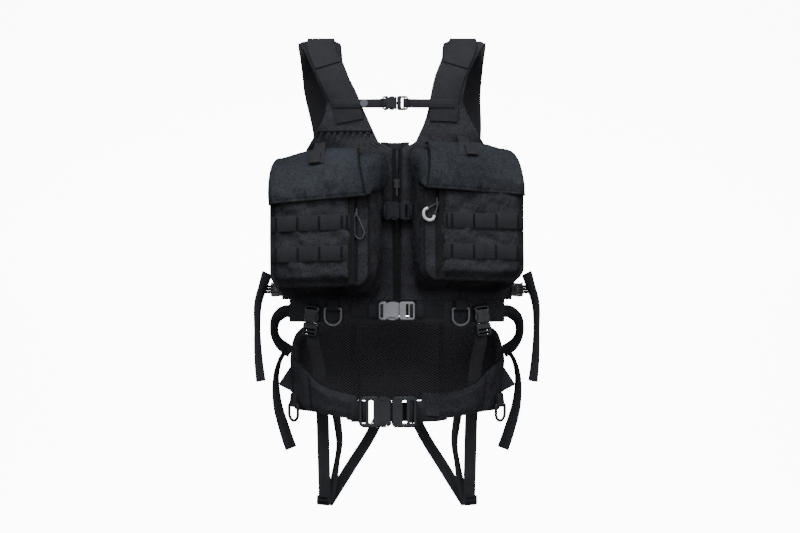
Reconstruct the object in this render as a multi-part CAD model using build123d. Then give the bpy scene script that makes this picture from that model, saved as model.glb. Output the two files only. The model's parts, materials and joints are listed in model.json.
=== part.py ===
"""Safety harness vest: shoulder yoke, chest pockets, lumbar belt and leg straps.

Millimetres, +Z up, +X towards the wearer's left, the front faces -Y.
The origin is where the vest rests on the shoulders: between the two pads,
level with the underside of their highest point.
"""

from build123d import *
import os
from math import asin, atan2, cos, degrees, radians, sin, sqrt

os.makedirs("parts", exist_ok=True)

# ---------------------------------------------------------------- clearances
CLEAR = 0.5            # between separate soft pieces
FIT = 0.3              # between moving hard pieces
WIRE_FIT = 0.3         # ring wire inside its webbing tab

# ---------------------------------------------------------------- webbing
WEB_T = 1.8            # thickness of all narrow webbing
STERNUM_WEB = 16.0
LEG_WEB = 20.0
WAIST_WEB = 25.0
BELT_WEB = 38.0
SHOULDER_WEB = 50.0
SHOULDER_WEB_T = 2.2

# ---------------------------------------------------------------- shoulders
SHOULDER_R = 100.0     # underside radius over the shoulder
PAD_T = 12.0
PAD_TOP_HALF = 39.0    # half width of the pad on top of the shoulder
PAD_TOP_X = 129.0      # centre of the pad on top of the shoulder
PAD_CHEST_X = 86.0     # centre of the pad where it meets the chest panel
PAD_BACK_X = 115.0     # centre of the pad where it meets the back panel
LEAN = 9.0             # the shoulders hang this far towards the wearer's right
LEAN_TOP = -55.0       # height where the full lean is reached
YOKE_Z = -148.0        # lower end of the front pads
BACK_TOP_Z = -172.0    # top of the back panel

# ---------------------------------------------------------------- panels
PANEL_T = 8.0
PANEL_R = 450.0        # plan radius of the chest panels
PANEL_IN = (8.0, -118.0)     # inner edge at the zip, in plan
PANEL_OUT = (205.0, -64.0)   # where the plan curve would reach the side
PANEL_SIDE_X = 200.0
PANEL_BOTTOM_Z = -444.0
NECK_Z = -186.0
BACK_T = 12.0
BACK_HALF = 150.0
BACK_Y = 112.0         # middle of the back panel, in plan
BACK_EDGE_Y = 98.0
BACK_BOTTOM_Z = -478.0

# ---------------------------------------------------------------- pockets
POCKET_W = 170.0
POCKET_D = 66.0
POCKET_WALL = 3.0
POCKET_BACK_TOP = -194.0
POCKET_SLOPE = 63.0 / 82.0   # fall of the top towards the front
POCKET_FRONT_BOTTOM = -418.0
POCKET_BACK_BOTTOM = -438.0
POCKET_CORNER = 14.0
POUCH_D = 12.0
POUCH_IN = -56.0             # inner edge of the front pouch across the pocket
POUCH_TOP = -262.0
POUCH_BOTTOM = -412.0
FLAP_T = 3.0
FLAP_BACK_TOP = -186.0
FLAP_SKIRT = 27.0
FLAP_SIDE = 19.0
ROW_H = 25.4                 # load webbing rows
ROW_PITCH = 50.8
ROW_TOP_Z = -314.0           # middle of the upper row

# ---------------------------------------------------------------- zip
CHAIN_W = 6.0
CHAIN_T = 2.4
SLIDER_H = 15.0
SLIDER_WALL = 1.2
SLIDER_Z = -246.0
PULL_L = 25.0

# ---------------------------------------------------------------- waist
WAIST_H = 35.0
WAIST_T = 7.0
WAIST_TOP_Z = PANEL_BOTTOM_Z - CLEAR
WAIST_END_X = 184.0
D_RING_X = 109.0
LEG_BUCKLE_X = 146.0
LEG_BUCKLE_TILT = 6.0

# ---------------------------------------------------------------- belt
BELT_PAD_T = 14.0
BELT_WING_T = 9.0
BELT_BOTTOM_Z = -637.0
BELT_SPLIT_Y = -12.0
BELT_PLAN = [(0, 118), (118, 112), (182, 62), (184, -40), (136, -100), (66, -140)]
BELT_PLAN_R = [140, 62, 40, 60]
BELT_BUCKLE_X = -15.0
BELT_BUCKLE_Z = -630.0

# ---------------------------------------------------------------- buckles
# overall length, width, thickness, webbing
STERNUM_BUCKLE = (44.0, 24.0, 8.5, STERNUM_WEB)
ZIP_BUCKLE = (49.0, 31.0, 9.0, 22.0)
WAIST_BUCKLE = (61.0, 31.0, 10.0, 22.0)
LEG_BUCKLE = (52.0, 27.0, 9.0, 19.0)
BELT_BUCKLE = (98.0, 52.0, 15.0, BELT_WEB)


# ================================================================ helpers
def prism(plane, points, length):
    """A straight prism standing on a plane, both ways from it."""
    outline = make_face(Polyline(*points, close=True))
    return plane.location * extrude(outline, length, both=True)


def front_prism(points):
    """An outline in X and Z, cut straight through the whole depth."""
    return prism(Plane(origin=(0, 0, 0), x_dir=(1, 0, 0), z_dir=(0, -1, 0)), points, 400)


def side_prism(points):
    """An outline in Y and Z, cut straight through the whole width."""
    return prism(Plane(origin=(0, 0, 0), x_dir=(0, 1, 0), z_dir=(1, 0, 0)), points, 400)


def box(x0, x1, y0, y1, z0, z1):
    """A block given by its lowest and highest corners."""
    size = Box(x1 - x0, y1 - y0, z1 - z0)
    return Pos((x0 + x1) / 2, (y0 + y1) / 2, (z0 + z1) / 2) * size


def ribbon(points, radius, width, origin, heading, thickness=WEB_T):
    """A strap whose path (along, up) lies in a vertical plane through origin."""
    turn = radians(heading)
    plane = Plane(
        origin=origin,
        x_dir=(cos(turn), sin(turn), 0),
        z_dir=(sin(turn), -cos(turn), 0),
    )
    band = trace(FilletPolyline(*points, radius=radius), line_width=thickness)
    return plane.location * extrude(band, width / 2, both=True)


def level_strap(path, thickness, z_low, z_high):
    """A strap standing on edge along a plan path."""
    band = trace(path, line_width=thickness)
    return Pos(0, 0, z_low) * extrude(band, z_high - z_low)


def across(shape):
    """The same piece on the wearer's right."""
    return mirror(shape, Plane.YZ)


def both(shape):
    """The piece and its opposite, as separate solids."""
    return [shape, across(shape)]


def solids_of(shapes):
    """One compound of every solid in a list of shapes."""
    return Compound(children=[s for shape in shapes for s in shape.solids()])


# ---------------------------------------------------------------- plan curve
def plan_centre():
    """Centre of the chest panels' plan curve and the direction of its chord."""
    (x0, y0), (x1, y1) = PANEL_IN, PANEL_OUT
    chord = sqrt((x1 - x0) ** 2 + (y1 - y0) ** 2)
    along = ((x1 - x0) / chord, (y1 - y0) / chord)
    inward = (-along[1], along[0])
    rise = sqrt(PANEL_R**2 - chord**2 / 4)
    centre = ((x0 + x1) / 2 + inward[0] * rise, (y0 + y1) / 2 + inward[1] * rise)
    return centre, along, rise


CENTRE, CHORD_DIR, CHORD_RISE = plan_centre()
CHORD_TURN = degrees(atan2(CHORD_DIR[1], CHORD_DIR[0]))


def plan_angle(x, offset=0.0):
    """Angle about the plan centre, from straight ahead, of the curve at x."""
    return asin((x - CENTRE[0]) / (PANEL_R + offset))


def plan_point(x, offset=0.0):
    """Point of the plan curve at x, moved outwards by offset."""
    radius = PANEL_R + offset
    return (x, CENTRE[1] - radius * cos(plan_angle(x, offset)))


def plan_arc(x0, x1, offset=0.0):
    """Stretch of the plan curve from x0 to x1, moved outwards by offset."""
    middle = (x0 + x1) / 2
    return ThreePointArc(
        plan_point(x0, offset), plan_point(middle, offset), plan_point(x1, offset)
    )


def on_panel(x, offset, z):
    """Place on the chest panels' front, with -Y turned along the normal."""
    point = plan_point(x, offset)
    return Pos(point[0], point[1], z) * Rot(0, 0, degrees(plan_angle(x, offset)))


# ================================================================ back
def back_panel():
    """Padded back panel, gently curved round the back."""
    arc = ThreePointArc((-BACK_HALF, BACK_EDGE_Y), (0, BACK_Y), (BACK_HALF, BACK_EDGE_Y))
    top = BACK_TOP_Z - CLEAR
    slab = level_strap(arc, BACK_T, BACK_BOTTOM_Z, top)
    shape = [
        (-BACK_HALF - 9, top + 1),
        (BACK_HALF + 9, top + 1),
        (BACK_HALF + 9, top - 60),
        (BACK_HALF - 12, BACK_BOTTOM_Z),
        (-BACK_HALF + 12, BACK_BOTTOM_Z),
        (-BACK_HALF - 9, top - 60),
    ]
    return slab & front_prism(shape)


HAUL_HALF = 27.0
HAUL_X = -4.0
HAUL_RISE = 17.0       # how far the handle stands above the back panel
HAUL_LAP = 10.0        # how much of it is sewn down on the panel
HAUL_OFF = 13.0        # room for fingers between the handle and the panel
HAUL_CHAMFER = 6.0


def haul_loop():
    """Grab handle: upright webbing sewn at both ends, standing off the back panel."""
    foot_y = BACK_Y + BACK_T / 2 + CLEAR + SHOULDER_WEB_T / 2
    grip_y = foot_y + HAUL_OFF
    path = FilletPolyline(
        (HAUL_X - HAUL_HALF, foot_y), (HAUL_X - 18, foot_y), (HAUL_X - 10, grip_y),
        (HAUL_X + 10, grip_y), (HAUL_X + 18, foot_y), (HAUL_X + HAUL_HALF, foot_y), radius=4,
    )
    low, high = BACK_TOP_Z - HAUL_LAP, BACK_TOP_Z + HAUL_RISE
    left, right = HAUL_X - HAUL_HALF - 1, HAUL_X + HAUL_HALF + 1
    shape = [
        (left, low - 1), (left, high - HAUL_CHAMFER), (left + HAUL_CHAMFER, high),
        (right - HAUL_CHAMFER, high), (right, high - HAUL_CHAMFER), (right, low - 1),
    ]
    return level_strap(path, SHOULDER_WEB_T, low, high) & front_prism(shape)


# ================================================================ shoulders
def lean_at(z):
    """Sideways lean of the shoulders at height z."""
    if z >= LEAN_TOP:
        return -LEAN
    if z <= YOKE_Z:
        return 0.0
    return -LEAN * (z - YOKE_Z) / (LEAN_TOP - YOKE_Z)


def strap_outline(stations, side):
    """Closed outline from stations of height, centre and half width."""
    inner = [(side * (x - half) + lean_at(z), z) for z, x, half in stations]
    outer = [(side * (x + half) + lean_at(z), z) for z, x, half in stations]
    return inner + outer[::-1]


def over_shoulder(thickness, offset, z_front, z_back):
    """Band over the shoulder, from the chest round to the back."""
    radius = SHOULDER_R + offset + thickness / 2
    path = (
        Line((-radius, z_front), (-radius, -SHOULDER_R))
        + ThreePointArc((-radius, -SHOULDER_R), (0, radius - SHOULDER_R), (radius, -SHOULDER_R))
        + Line((radius, -SHOULDER_R), (radius, z_back))
    )
    band = trace(path, line_width=thickness)
    plane = Plane(origin=(0, 0, 0), x_dir=(0, 1, 0), z_dir=(1, 0, 0))
    return plane.location * extrude(band, 260, both=True)


PAD_FRONT = [
    (60, PAD_TOP_X, PAD_TOP_HALF),
    (-20, PAD_TOP_X - 9, 30),
    (-60, PAD_CHEST_X + 17, 28.5),
    (-105, PAD_CHEST_X + 1.5, 28),
    (YOKE_Z, PAD_CHEST_X, 44),
]
PAD_REAR = [
    (60, PAD_TOP_X, PAD_TOP_HALF),
    (-60, PAD_TOP_X - 3, PAD_TOP_HALF - 1),
    (BACK_TOP_Z, PAD_BACK_X, PAD_TOP_HALF - 1),
]
WEB_HALF = SHOULDER_WEB / 2
WEB_BACK_Y = 30.0
WEB_FRONT = [
    (60, PAD_TOP_X - 4, WEB_HALF),
    (-20, PAD_TOP_X - 10, WEB_HALF),
    (-105, PAD_CHEST_X - 2, WEB_HALF - 3),
    (YOKE_Z + 4, PAD_CHEST_X - 8, WEB_HALF - 2),
]


def shoulder_pad(side):
    """Padded strap from the chest panel over the shoulder to the back panel."""
    band = over_shoulder(PAD_T, 0.0, YOKE_Z, BACK_TOP_Z)
    front = (band & box(-300, 300, -300, 0, -300, 60)) & front_prism(strap_outline(PAD_FRONT, side))
    rear = (band & box(-300, 300, 0, 300, -300, 60)) & front_prism(strap_outline(PAD_REAR, side))
    return front + rear


def shoulder_web(side):
    """Wide load webbing sewn along the top of the shoulder pad."""
    band = over_shoulder(SHOULDER_WEB_T, PAD_T + CLEAR, YOKE_Z + 4, BACK_TOP_Z)
    front = band & box(-300, 300, -300, WEB_BACK_Y, -300, 60)
    return front & front_prism(strap_outline(WEB_FRONT, side))


# ================================================================ chest panels
def chest_panel():
    """Wearer's left front panel with the lower end of the yoke."""
    slab = level_strap(plan_arc(PANEL_IN[0], PANEL_SIDE_X), PANEL_T, PANEL_BOTTOM_Z, YOKE_Z)
    top = YOKE_Z - CLEAR
    outline = [
        (PAD_CHEST_X - 42, top),
        (30, NECK_Z + 5),
        (PANEL_IN[0] - 3, NECK_Z),
        (PANEL_IN[0] - 3, PANEL_BOTTOM_Z),
        (PANEL_SIDE_X + 3, PANEL_BOTTOM_Z),
        (PANEL_SIDE_X - 6, -300),
        (152, -205),
        (PAD_CHEST_X + 46, top),
    ]
    return slab & front_prism(outline)


# ================================================================ pockets
POCKET_HALF = POCKET_W / 2


def pocket_place():
    """Frame of the wearer's left pocket: X outwards across it, -Y to its front."""
    sag = PANEL_R - CHORD_RISE
    out = sag + PANEL_T / 2 + CLEAR
    middle = ((PANEL_IN[0] + PANEL_OUT[0]) / 2, (PANEL_IN[1] + PANEL_OUT[1]) / 2)
    origin = (middle[0] + CHORD_DIR[1] * out, middle[1] - CHORD_DIR[0] * out)
    return Pos(origin[0], origin[1], 0) * Rot(0, 0, CHORD_TURN)


def rounded_plan(half, depth, corner, z0, z1):
    """Upright block with rounded front corners, its back at depth 0."""
    block = box(-half, half, -depth, 0, z0, z1)
    front = block.edges().filter_by(Axis.Z).group_by(Axis.Y)[0]
    return fillet(front, corner)


def pocket_shell():
    """Deep open-topped bag, its bottom sagging towards the back."""
    front_top = POCKET_BACK_TOP - POCKET_SLOPE * POCKET_D
    profile = [
        (0, POCKET_BACK_BOTTOM),
        (0, POCKET_BACK_TOP),
        (-POCKET_D, front_top),
        (-POCKET_D, POCKET_FRONT_BOTTOM),
    ]
    outer = rounded_plan(POCKET_HALF, POCKET_D, POCKET_CORNER, -460, -160) & side_prism(profile)
    room = POCKET_D - 2 * POCKET_WALL
    hollow = [
        (-POCKET_WALL, POCKET_BACK_BOTTOM + POCKET_WALL),
        (-POCKET_WALL, -150),
        (-POCKET_D + POCKET_WALL, -150),
        (-POCKET_D + POCKET_WALL, POCKET_FRONT_BOTTOM + POCKET_WALL),
    ]
    inner = rounded_plan(POCKET_HALF - POCKET_WALL, room, POCKET_CORNER - POCKET_WALL, -450, -150)
    inner = (Pos(0, -POCKET_WALL, 0) * inner) & side_prism(hollow)
    return outer - inner


def front_pouch():
    """Flat pouch on the pocket's front, flush with its outer edge."""
    back = -POCKET_D - CLEAR
    outer_edge = POCKET_HALF - 4
    block = box(POUCH_IN, outer_edge, back - POUCH_D, back, POUCH_BOTTOM, POUCH_TOP)
    block = fillet(block.edges().filter_by(Axis.Y), 9)
    return fillet(block.faces().sort_by(Axis.Y)[0].edges(), 4)


def load_rows():
    """Two rows of load webbing across the pouch."""
    back = -POCKET_D - POUCH_D - 2 * CLEAR
    rows = []
    for row in range(2):
        middle = ROW_TOP_Z - row * ROW_PITCH
        low, high = middle - ROW_H / 2, middle + ROW_H / 2
        rows.append(box(POUCH_IN + 5, POCKET_HALF - 7, back - WEB_T, back, low, high))
    return rows


FLAP_HALF = POCKET_HALF + CLEAR + FLAP_T
FLAP_FRONT = POCKET_D + POUCH_D + 2 * CLEAR + FLAP_T
FLAP_BACK = 1.0
FLAP_FRONT_TOP = FLAP_BACK_TOP - POCKET_SLOPE * (FLAP_FRONT - FLAP_BACK)
FLAP_PIVOT = (0.0, -FLAP_BACK, FLAP_BACK_TOP)     # the fold along its back edge
FLAP_CORNER = 12.0
TAB_W = 20.0
TAB_L = 26.0
TAB_START = 4.0         # from the flap's back edge


def pocket_flap():
    """Storm flap: sloping roof, skirts, a deep inner ear and a pull tab."""
    outer_profile = [
        (-FLAP_BACK, FLAP_BACK_TOP),
        (-FLAP_FRONT, FLAP_FRONT_TOP),
        (-FLAP_FRONT, FLAP_FRONT_TOP - FLAP_SKIRT),
        (-FLAP_BACK, FLAP_BACK_TOP - FLAP_SIDE),
    ]
    outer = rounded_plan(FLAP_HALF, FLAP_FRONT, FLAP_CORNER, -330, -150)
    outer = outer & side_prism(outer_profile)
    drop = FLAP_T * sqrt(1 + POCKET_SLOPE**2)
    room = FLAP_FRONT - FLAP_T
    inner_profile = [
        (5, FLAP_BACK_TOP - drop + POCKET_SLOPE * (5 + FLAP_BACK)),
        (-room, FLAP_FRONT_TOP - drop + POCKET_SLOPE * FLAP_T),
        (-room, -400),
        (5, -400),
    ]
    corner = FLAP_CORNER - FLAP_T
    inner = rounded_plan(FLAP_HALF - FLAP_T, room, corner, -420, -150)
    inner = inner + box(-FLAP_HALF + FLAP_T, FLAP_HALF - FLAP_T, -FLAP_T, 5, -420, -150)
    shell = outer - (inner & side_prism(inner_profile))
    hem = FLAP_FRONT_TOP - FLAP_SKIRT
    ear_front = -FLAP_FRONT + FLAP_CORNER
    ear = side_prism([
        (-FLAP_BACK, FLAP_BACK_TOP - FLAP_SIDE + 2), (-FLAP_BACK, FLAP_BACK_TOP - 50),
        (-16, hem + 11), (-30, hem + 5), (ear_front, hem), (ear_front, hem + 15),
    ])
    shell += ear & box(-FLAP_HALF, -FLAP_HALF + FLAP_T, -FLAP_FRONT, 0, -330, -150)
    slope = degrees(atan2(POCKET_SLOPE, 1))
    tab = Pos(0, -TAB_L / 2 - TAB_START, WEB_T / 2 + CLEAR) * Box(TAB_W, TAB_L, WEB_T)
    tab = Pos(4, -FLAP_BACK, FLAP_BACK_TOP) * Rot(slope, 0, 0) * tab
    return [shell, tab]


LOOP_W = 19.0
LOOP_H = 44.0
LOOP_CORD = 3.0
LOOP_TOP_Z = -298.0
LOOP_X = -71.0


def pouch_pull():
    """Cord loop on the slider of the pouch's side zip."""
    y = -POCKET_D - CLEAR - 2.5
    half, corner = LOOP_W / 2 - LOOP_CORD / 2, LOOP_W / 2 - LOOP_CORD / 2 - 0.5
    low = LOOP_TOP_Z - LOOP_H
    path = FilletPolyline(
        (0, LOOP_TOP_Z), (half, LOOP_TOP_Z - 24), (half, low), (-half, low),
        (-half, LOOP_TOP_Z - 24), radius=[1.6, 12, corner, corner, 12], close=True,
    )
    plane = Plane(origin=(LOOP_X, y, 0), x_dir=(1, 0, 0), z_dir=(0, -1, 0))
    wire = plane.location * Wire(path.edges())
    start = Plane(origin=wire @ 0.3, z_dir=wire % 0.3)
    loop = sweep(start * Circle(LOOP_CORD / 2), path=wire)
    body = box(LOOP_X - 4, LOOP_X + 4, y - 1.5, y + 1.5, LOOP_TOP_Z + 1.5, LOOP_TOP_Z + 12)
    neck = box(LOOP_X - 1.5, LOOP_X + 1.5, y - 1.2, y + 1.2, LOOP_TOP_Z - 3, LOOP_TOP_Z + 3)
    return loop + (body + neck)


# ================================================================ front zip
CHAIN_Y = PANEL_IN[1]


def zip_chain():
    """Tooth chain between the two chest panels."""
    half_t = CHAIN_T / 2
    return box(-CHAIN_W / 2, CHAIN_W / 2, CHAIN_Y - half_t, CHAIN_Y + half_t,
               PANEL_BOTTOM_Z + 8, NECK_Z - 1)


SLIDER_HALF_W = CHAIN_W / 2 + FIT + SLIDER_WALL
SLIDER_HALF_T = CHAIN_T / 2 + FIT + SLIDER_WALL
BAIL_Y = CHAIN_Y - SLIDER_HALF_T - 1.2


def zip_slider():
    """Slider body round the chain, with two small lugs for the pull."""
    body = Pos(0, CHAIN_Y, SLIDER_Z) * Box(2 * SLIDER_HALF_W, 2 * SLIDER_HALF_T, SLIDER_H)
    body = fillet(body.edges().filter_by(Axis.Y), 1.6)
    tunnel = Pos(0, CHAIN_Y, SLIDER_Z) * Box(CHAIN_W + 2 * FIT, CHAIN_T + 2 * FIT, SLIDER_H + 4)
    front = CHAIN_Y - SLIDER_HALF_T
    lugs = [box(side * 2.9 - 0.9, side * 2.9 + 0.9, front - 2.4, front + 0.5,
                SLIDER_Z + 1, SLIDER_Z + 6) for side in (-1, 1)]
    return (body - tunnel) + lugs[0] + lugs[1]


PULL_PIVOT_Z = SLIDER_Z + 3.5


def zip_pull():
    """Flat tongue that hangs between the slider's lugs."""
    tongue = box(-1.6, 1.6, BAIL_Y - 0.8, BAIL_Y + 0.8, PULL_PIVOT_Z - PULL_L, PULL_PIVOT_Z + 1)
    return fillet(tongue.edges().filter_by(Axis.Y), 0.9)


# ================================================================ buckles
def slot_cut(x0, x1, web, height):
    """Rounded webbing slot across a buckle."""
    middle = (x0 + x1) / 2
    hole = extrude(RectangleRounded(x1 - x0, web + 1.6, (x1 - x0) * 0.35), height, both=True)
    return Pos(middle, 0, 0) * hole


def buckle(size, tail_slots=1):
    """Side-release buckle along X, its plug at +X: socket, plug, two arms, pivot."""
    length, width, thick, web = size
    half = width / 2
    socket_l = length * 0.56
    wall = max(1.7, width * 0.065)
    skin = thick * 0.2
    room_z = thick - 2 * skin
    bar = max(2.4, length * 0.05)
    slot = max(3.4, length * 0.075)
    pitch = bar + slot
    cavity_x = bar + tail_slots * pitch
    rim = max(3.0, length * 0.07)
    arm = max(1.1, width * 0.05)

    socket = extrude(Pos(socket_l / 2, 0) * RectangleRounded(socket_l, width, width * 0.2),
                     thick / 2, both=True)
    socket = chamfer(socket.faces().sort_by(Axis.Z)[-1].edges(), thick * 0.14)
    for n in range(tail_slots):
        socket -= slot_cut(bar + n * pitch, bar + n * pitch + slot, web, thick)
    socket -= box(cavity_x, socket_l + 5, -half + wall, half - wall, -room_z / 2, room_z / 2)
    window_l = socket_l - rim - cavity_x - 1.5
    window_x = socket_l - rim - window_l / 2
    scallop = extrude(SlotOverall(window_l, min(width * 0.36, window_l * 0.9)), thick, both=True)
    for side in (-1, 1):
        socket -= Pos(window_x, side * half, 0) * scallop

    base_x = socket_l + 0.4
    plug = extrude(Pos((base_x + length) / 2, 0) * RectangleRounded(length - base_x, width, width * 0.16),
                   thick / 2, both=True)
    plug = chamfer(plug.faces().sort_by(Axis.Z)[-1].edges(), thick * 0.14)
    for n in range(2):
        end = length - bar - n * pitch
        plug -= slot_cut(end - slot, end, web, thick)
    inner_z = room_z / 2 - FIT
    plug += box(cavity_x + 2.5, base_x + 1, -width * 0.07, width * 0.07, -inner_z, inner_z)

    pivot_x = base_x - FIT - arm
    pivot_y = half - wall - FIT - arm
    inner_edge = pivot_y - arm
    outer_edge = pivot_y + arm
    window_start = window_x - window_l / 2
    crest = half - 0.1
    outline = Polyline(
        (pivot_x, inner_edge), (cavity_x + 1.5, inner_edge), (cavity_x + 1.5, outer_edge),
        (window_start + 1.6, outer_edge), (window_start + window_l * 0.45, crest),
        (socket_l - rim - 2.0, crest), (socket_l - rim - 1.3, outer_edge),
        (pivot_x, outer_edge), close=True,
    )
    latch = extrude(make_face(outline), inner_z, both=True)
    latch += Pos(pivot_x, pivot_y, 0) * Cylinder(arm, 2 * inner_z)
    return {
        "socket": socket,
        "plug": plug,
        "upper": latch,
        "lower": mirror(latch, Plane.XZ),
        "pivot": (pivot_x, pivot_y),
    }


FACING = Rot(90, 0, 0)     # webbing plane turned upright, outside to the front


def place_buckle(parts, place, size):
    """Every piece of a buckle at its place, centred along its length."""
    shift = place * Pos(-size[0] / 2, 0, 0)
    return {key: shift * shape for key, shape in parts.items() if key != "pivot"}


STERNUM_Z = -110.0
WEB_FACE_Y = -(SHOULDER_R + PAD_T + CLEAR + SHOULDER_WEB_T)
STERNUM_Y = WEB_FACE_Y - CLEAR - WEB_T / 2
STERNUM_X = -3.0


def buckle_back(strap_y, size):
    """Depth of a buckle's middle in front of the strap that it sits on."""
    return strap_y - WEB_T / 2 - FIT - size[2] / 2


STERNUM_PLACE = Pos(STERNUM_X, buckle_back(STERNUM_Y, STERNUM_BUCKLE), STERNUM_Z) * FACING

ZIP_BUCKLE_X = 2.0
ZIP_BUCKLE_Z = -293.0
ZIP_STRAP_Y = BAIL_Y - 0.8 - 1.5 - WEB_T / 2
ZIP_PLACE = Pos(ZIP_BUCKLE_X, buckle_back(ZIP_STRAP_Y, ZIP_BUCKLE), ZIP_BUCKLE_Z) * FACING

WAIST_Z = WAIST_TOP_Z - WAIST_H / 2
WAIST_STRAP_OUT = WAIST_T / 2 + CLEAR + WEB_T / 2
WAIST_STRAP_Y = plan_point(30, WAIST_STRAP_OUT)[1]
WAIST_PLACE = Pos(0, buckle_back(WAIST_STRAP_Y, WAIST_BUCKLE), WAIST_Z) * FACING

LEG_TOP_Z = WAIST_TOP_Z - 9
LEG_BUCKLE_Z = LEG_TOP_Z - LEG_BUCKLE[0] / 2
LEG_OUT = WAIST_T / 2 + 2 * CLEAR + WEB_T + LEG_BUCKLE[2] / 2
LEG_PLACE = on_panel(LEG_BUCKLE_X, LEG_OUT, LEG_BUCKLE_Z) * Rot(0, 90 - LEG_BUCKLE_TILT, 0) * FACING

BELT_END = BELT_PLAN[-1]
BELT_STRAP_Y = BELT_END[1] - BELT_WING_T / 2 - CLEAR - WEB_T / 2
BELT_PLACE = Pos(BELT_BUCKLE_X, buckle_back(BELT_STRAP_Y, BELT_BUCKLE), BELT_BUCKLE_Z) * FACING


# ================================================================ straps in front
KEEPER_X = (-108.0, 98.0)
SNAP_X = -56.0
SNAP_R = 6.8


def sternum_strap():
    """Two short webs from the shoulder webbing to the sternum buckle."""
    low, high = STERNUM_Z - STERNUM_WEB / 2, STERNUM_Z + STERNUM_WEB / 2
    left_end = STERNUM_X - STERNUM_BUCKLE[0] / 2 + 5
    right_end = STERNUM_X + STERNUM_BUCKLE[0] / 2 - 5
    spans = [(KEEPER_X[0], left_end), (right_end, KEEPER_X[1])]
    y0, y1 = STERNUM_Y - WEB_T / 2, STERNUM_Y + WEB_T / 2
    return [box(a, b, y0, y1, low, high) for a, b in spans]


def sternum_snap():
    """Domed press stud that holds the strap's adjusting end."""
    front = STERNUM_Y - WEB_T / 2 - 0.2
    cap = Pos(SNAP_X, front - 1.2, STERNUM_Z) * Rot(90, 0, 0) * Cylinder(SNAP_R, 2.4)
    return fillet(cap.faces().sort_by(Axis.Y)[0].edges(), 1.1)


def zip_strap():
    """Two short webs that carry the buckle across the zip."""
    low, high = ZIP_BUCKLE_Z - 11, ZIP_BUCKLE_Z + 11
    y0, y1 = ZIP_STRAP_Y - WEB_T / 2, ZIP_STRAP_Y + WEB_T / 2
    webs = []
    for side in (-1, 1):
        near = ZIP_BUCKLE_X + side * (ZIP_BUCKLE[0] / 2 - 7)
        far = side * 26.5
        ends = sorted((near, far))
        web = box(ends[0], ends[1], y0, y1, low, high)
        foot = sorted((side * 9.5, far))
        back = plan_point(PANEL_IN[0], PANEL_T / 2)[1] - CLEAR
        web += box(foot[0], foot[1], y0, back, low, high)
        webs.append(web)
    return webs


def waistband():
    """Stiff hem bands under the chest panels and the webs to the waist buckle."""
    end = WAIST_BUCKLE[0] / 2 + 4
    band = level_strap(plan_arc(end, WAIST_END_X), WAIST_T, WAIST_TOP_Z - WAIST_H, WAIST_TOP_Z)
    near = WAIST_BUCKLE[0] / 2 - 7
    web_low, web_high = WAIST_Z - WAIST_WEB / 2 + 1.5, WAIST_Z + WAIST_WEB / 2 - 1.5
    path = Line((near, WAIST_STRAP_Y), (30, WAIST_STRAP_Y)) + plan_arc(30, 76, WAIST_STRAP_OUT)
    web = level_strap(path, WEB_T, web_low, web_high)
    return both(band) + both(web)


# ================================================================ rings
RING_WIRE = 3.6


def ring(width, height, wire=RING_WIRE):
    """D-ring in X and Z, its straight bar along X at the origin, hanging down."""
    half = width / 2 - wire / 2
    low = -height + wire
    path = FilletPolyline((-half, 0), (half, 0), (half, low), (-half, low),
                          radius=[2.2, 2.2, half - 0.6, half - 0.6], close=True)
    plane = Plane(origin=(0, 0, 0), x_dir=(1, 0, 0), z_dir=(0, -1, 0))
    wire_path = plane.location * Wire(path.edges())
    start = Plane(origin=wire_path @ 0.1, z_dir=wire_path % 0.1)
    return sweep(start * Circle(wire / 2), path=wire_path)


def ring_tab(width, above, depth_back, wire=RING_WIRE):
    """Folded webbing tab that holds a ring's bar."""
    radius = wire / 2 + WIRE_FIT
    cover = radius + WEB_T
    tab = box(-width / 2, width / 2, -cover, depth_back, 0, above)
    tab += Rot(0, 90, 0) * Cylinder(cover, width)
    tab -= Rot(0, 90, 0) * Cylinder(radius, width + 4)
    return tab


D_RING = (33.0, 32.0)
D_RING_OUT = WAIST_T / 2 + CLEAR + RING_WIRE / 2 + WIRE_FIT + WEB_T
D_RING_Z = WAIST_TOP_Z - 14
D_RING_PLACE = on_panel(D_RING_X, D_RING_OUT, D_RING_Z)

BELT_RING = (30.0, 31.0)
BELT_RING_AT = (171.0, -54.0)
BELT_RING_Z = -627.0
BELT_SIDE_TURN = degrees(atan2(60.0, 48.0))
BELT_NORMAL = (sin(radians(BELT_SIDE_TURN)), -cos(radians(BELT_SIDE_TURN)))
BELT_RING_OUT = BELT_WING_T / 2 + 2.5 + RING_WIRE / 2 + WIRE_FIT + WEB_T
BELT_RING_PLACE = (
    Pos(BELT_RING_AT[0] + BELT_NORMAL[0] * BELT_RING_OUT,
        BELT_RING_AT[1] + BELT_NORMAL[1] * BELT_RING_OUT, BELT_RING_Z)
    * Rot(0, 0, BELT_SIDE_TURN)
)

TOP_RING = (27.0, 21.0)
TOP_WIRE = 3.0
TOP_RING_Y = 18.0
TOP_RING_TILT = 15.0
WEB_TOP_R = SHOULDER_R + PAD_T + CLEAR + SHOULDER_WEB_T
TOP_RING_Z = sqrt(WEB_TOP_R**2 - TOP_RING_Y**2) - SHOULDER_R + CLEAR + TOP_WIRE / 2 + WIRE_FIT + WEB_T


def top_ring_place(side):
    """Ring on top of a shoulder, lying towards the back."""
    x = side * (PAD_TOP_X - 4) - LEAN
    return Pos(x, TOP_RING_Y, TOP_RING_Z) * Rot(90 + TOP_RING_TILT, 0, 0)


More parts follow.
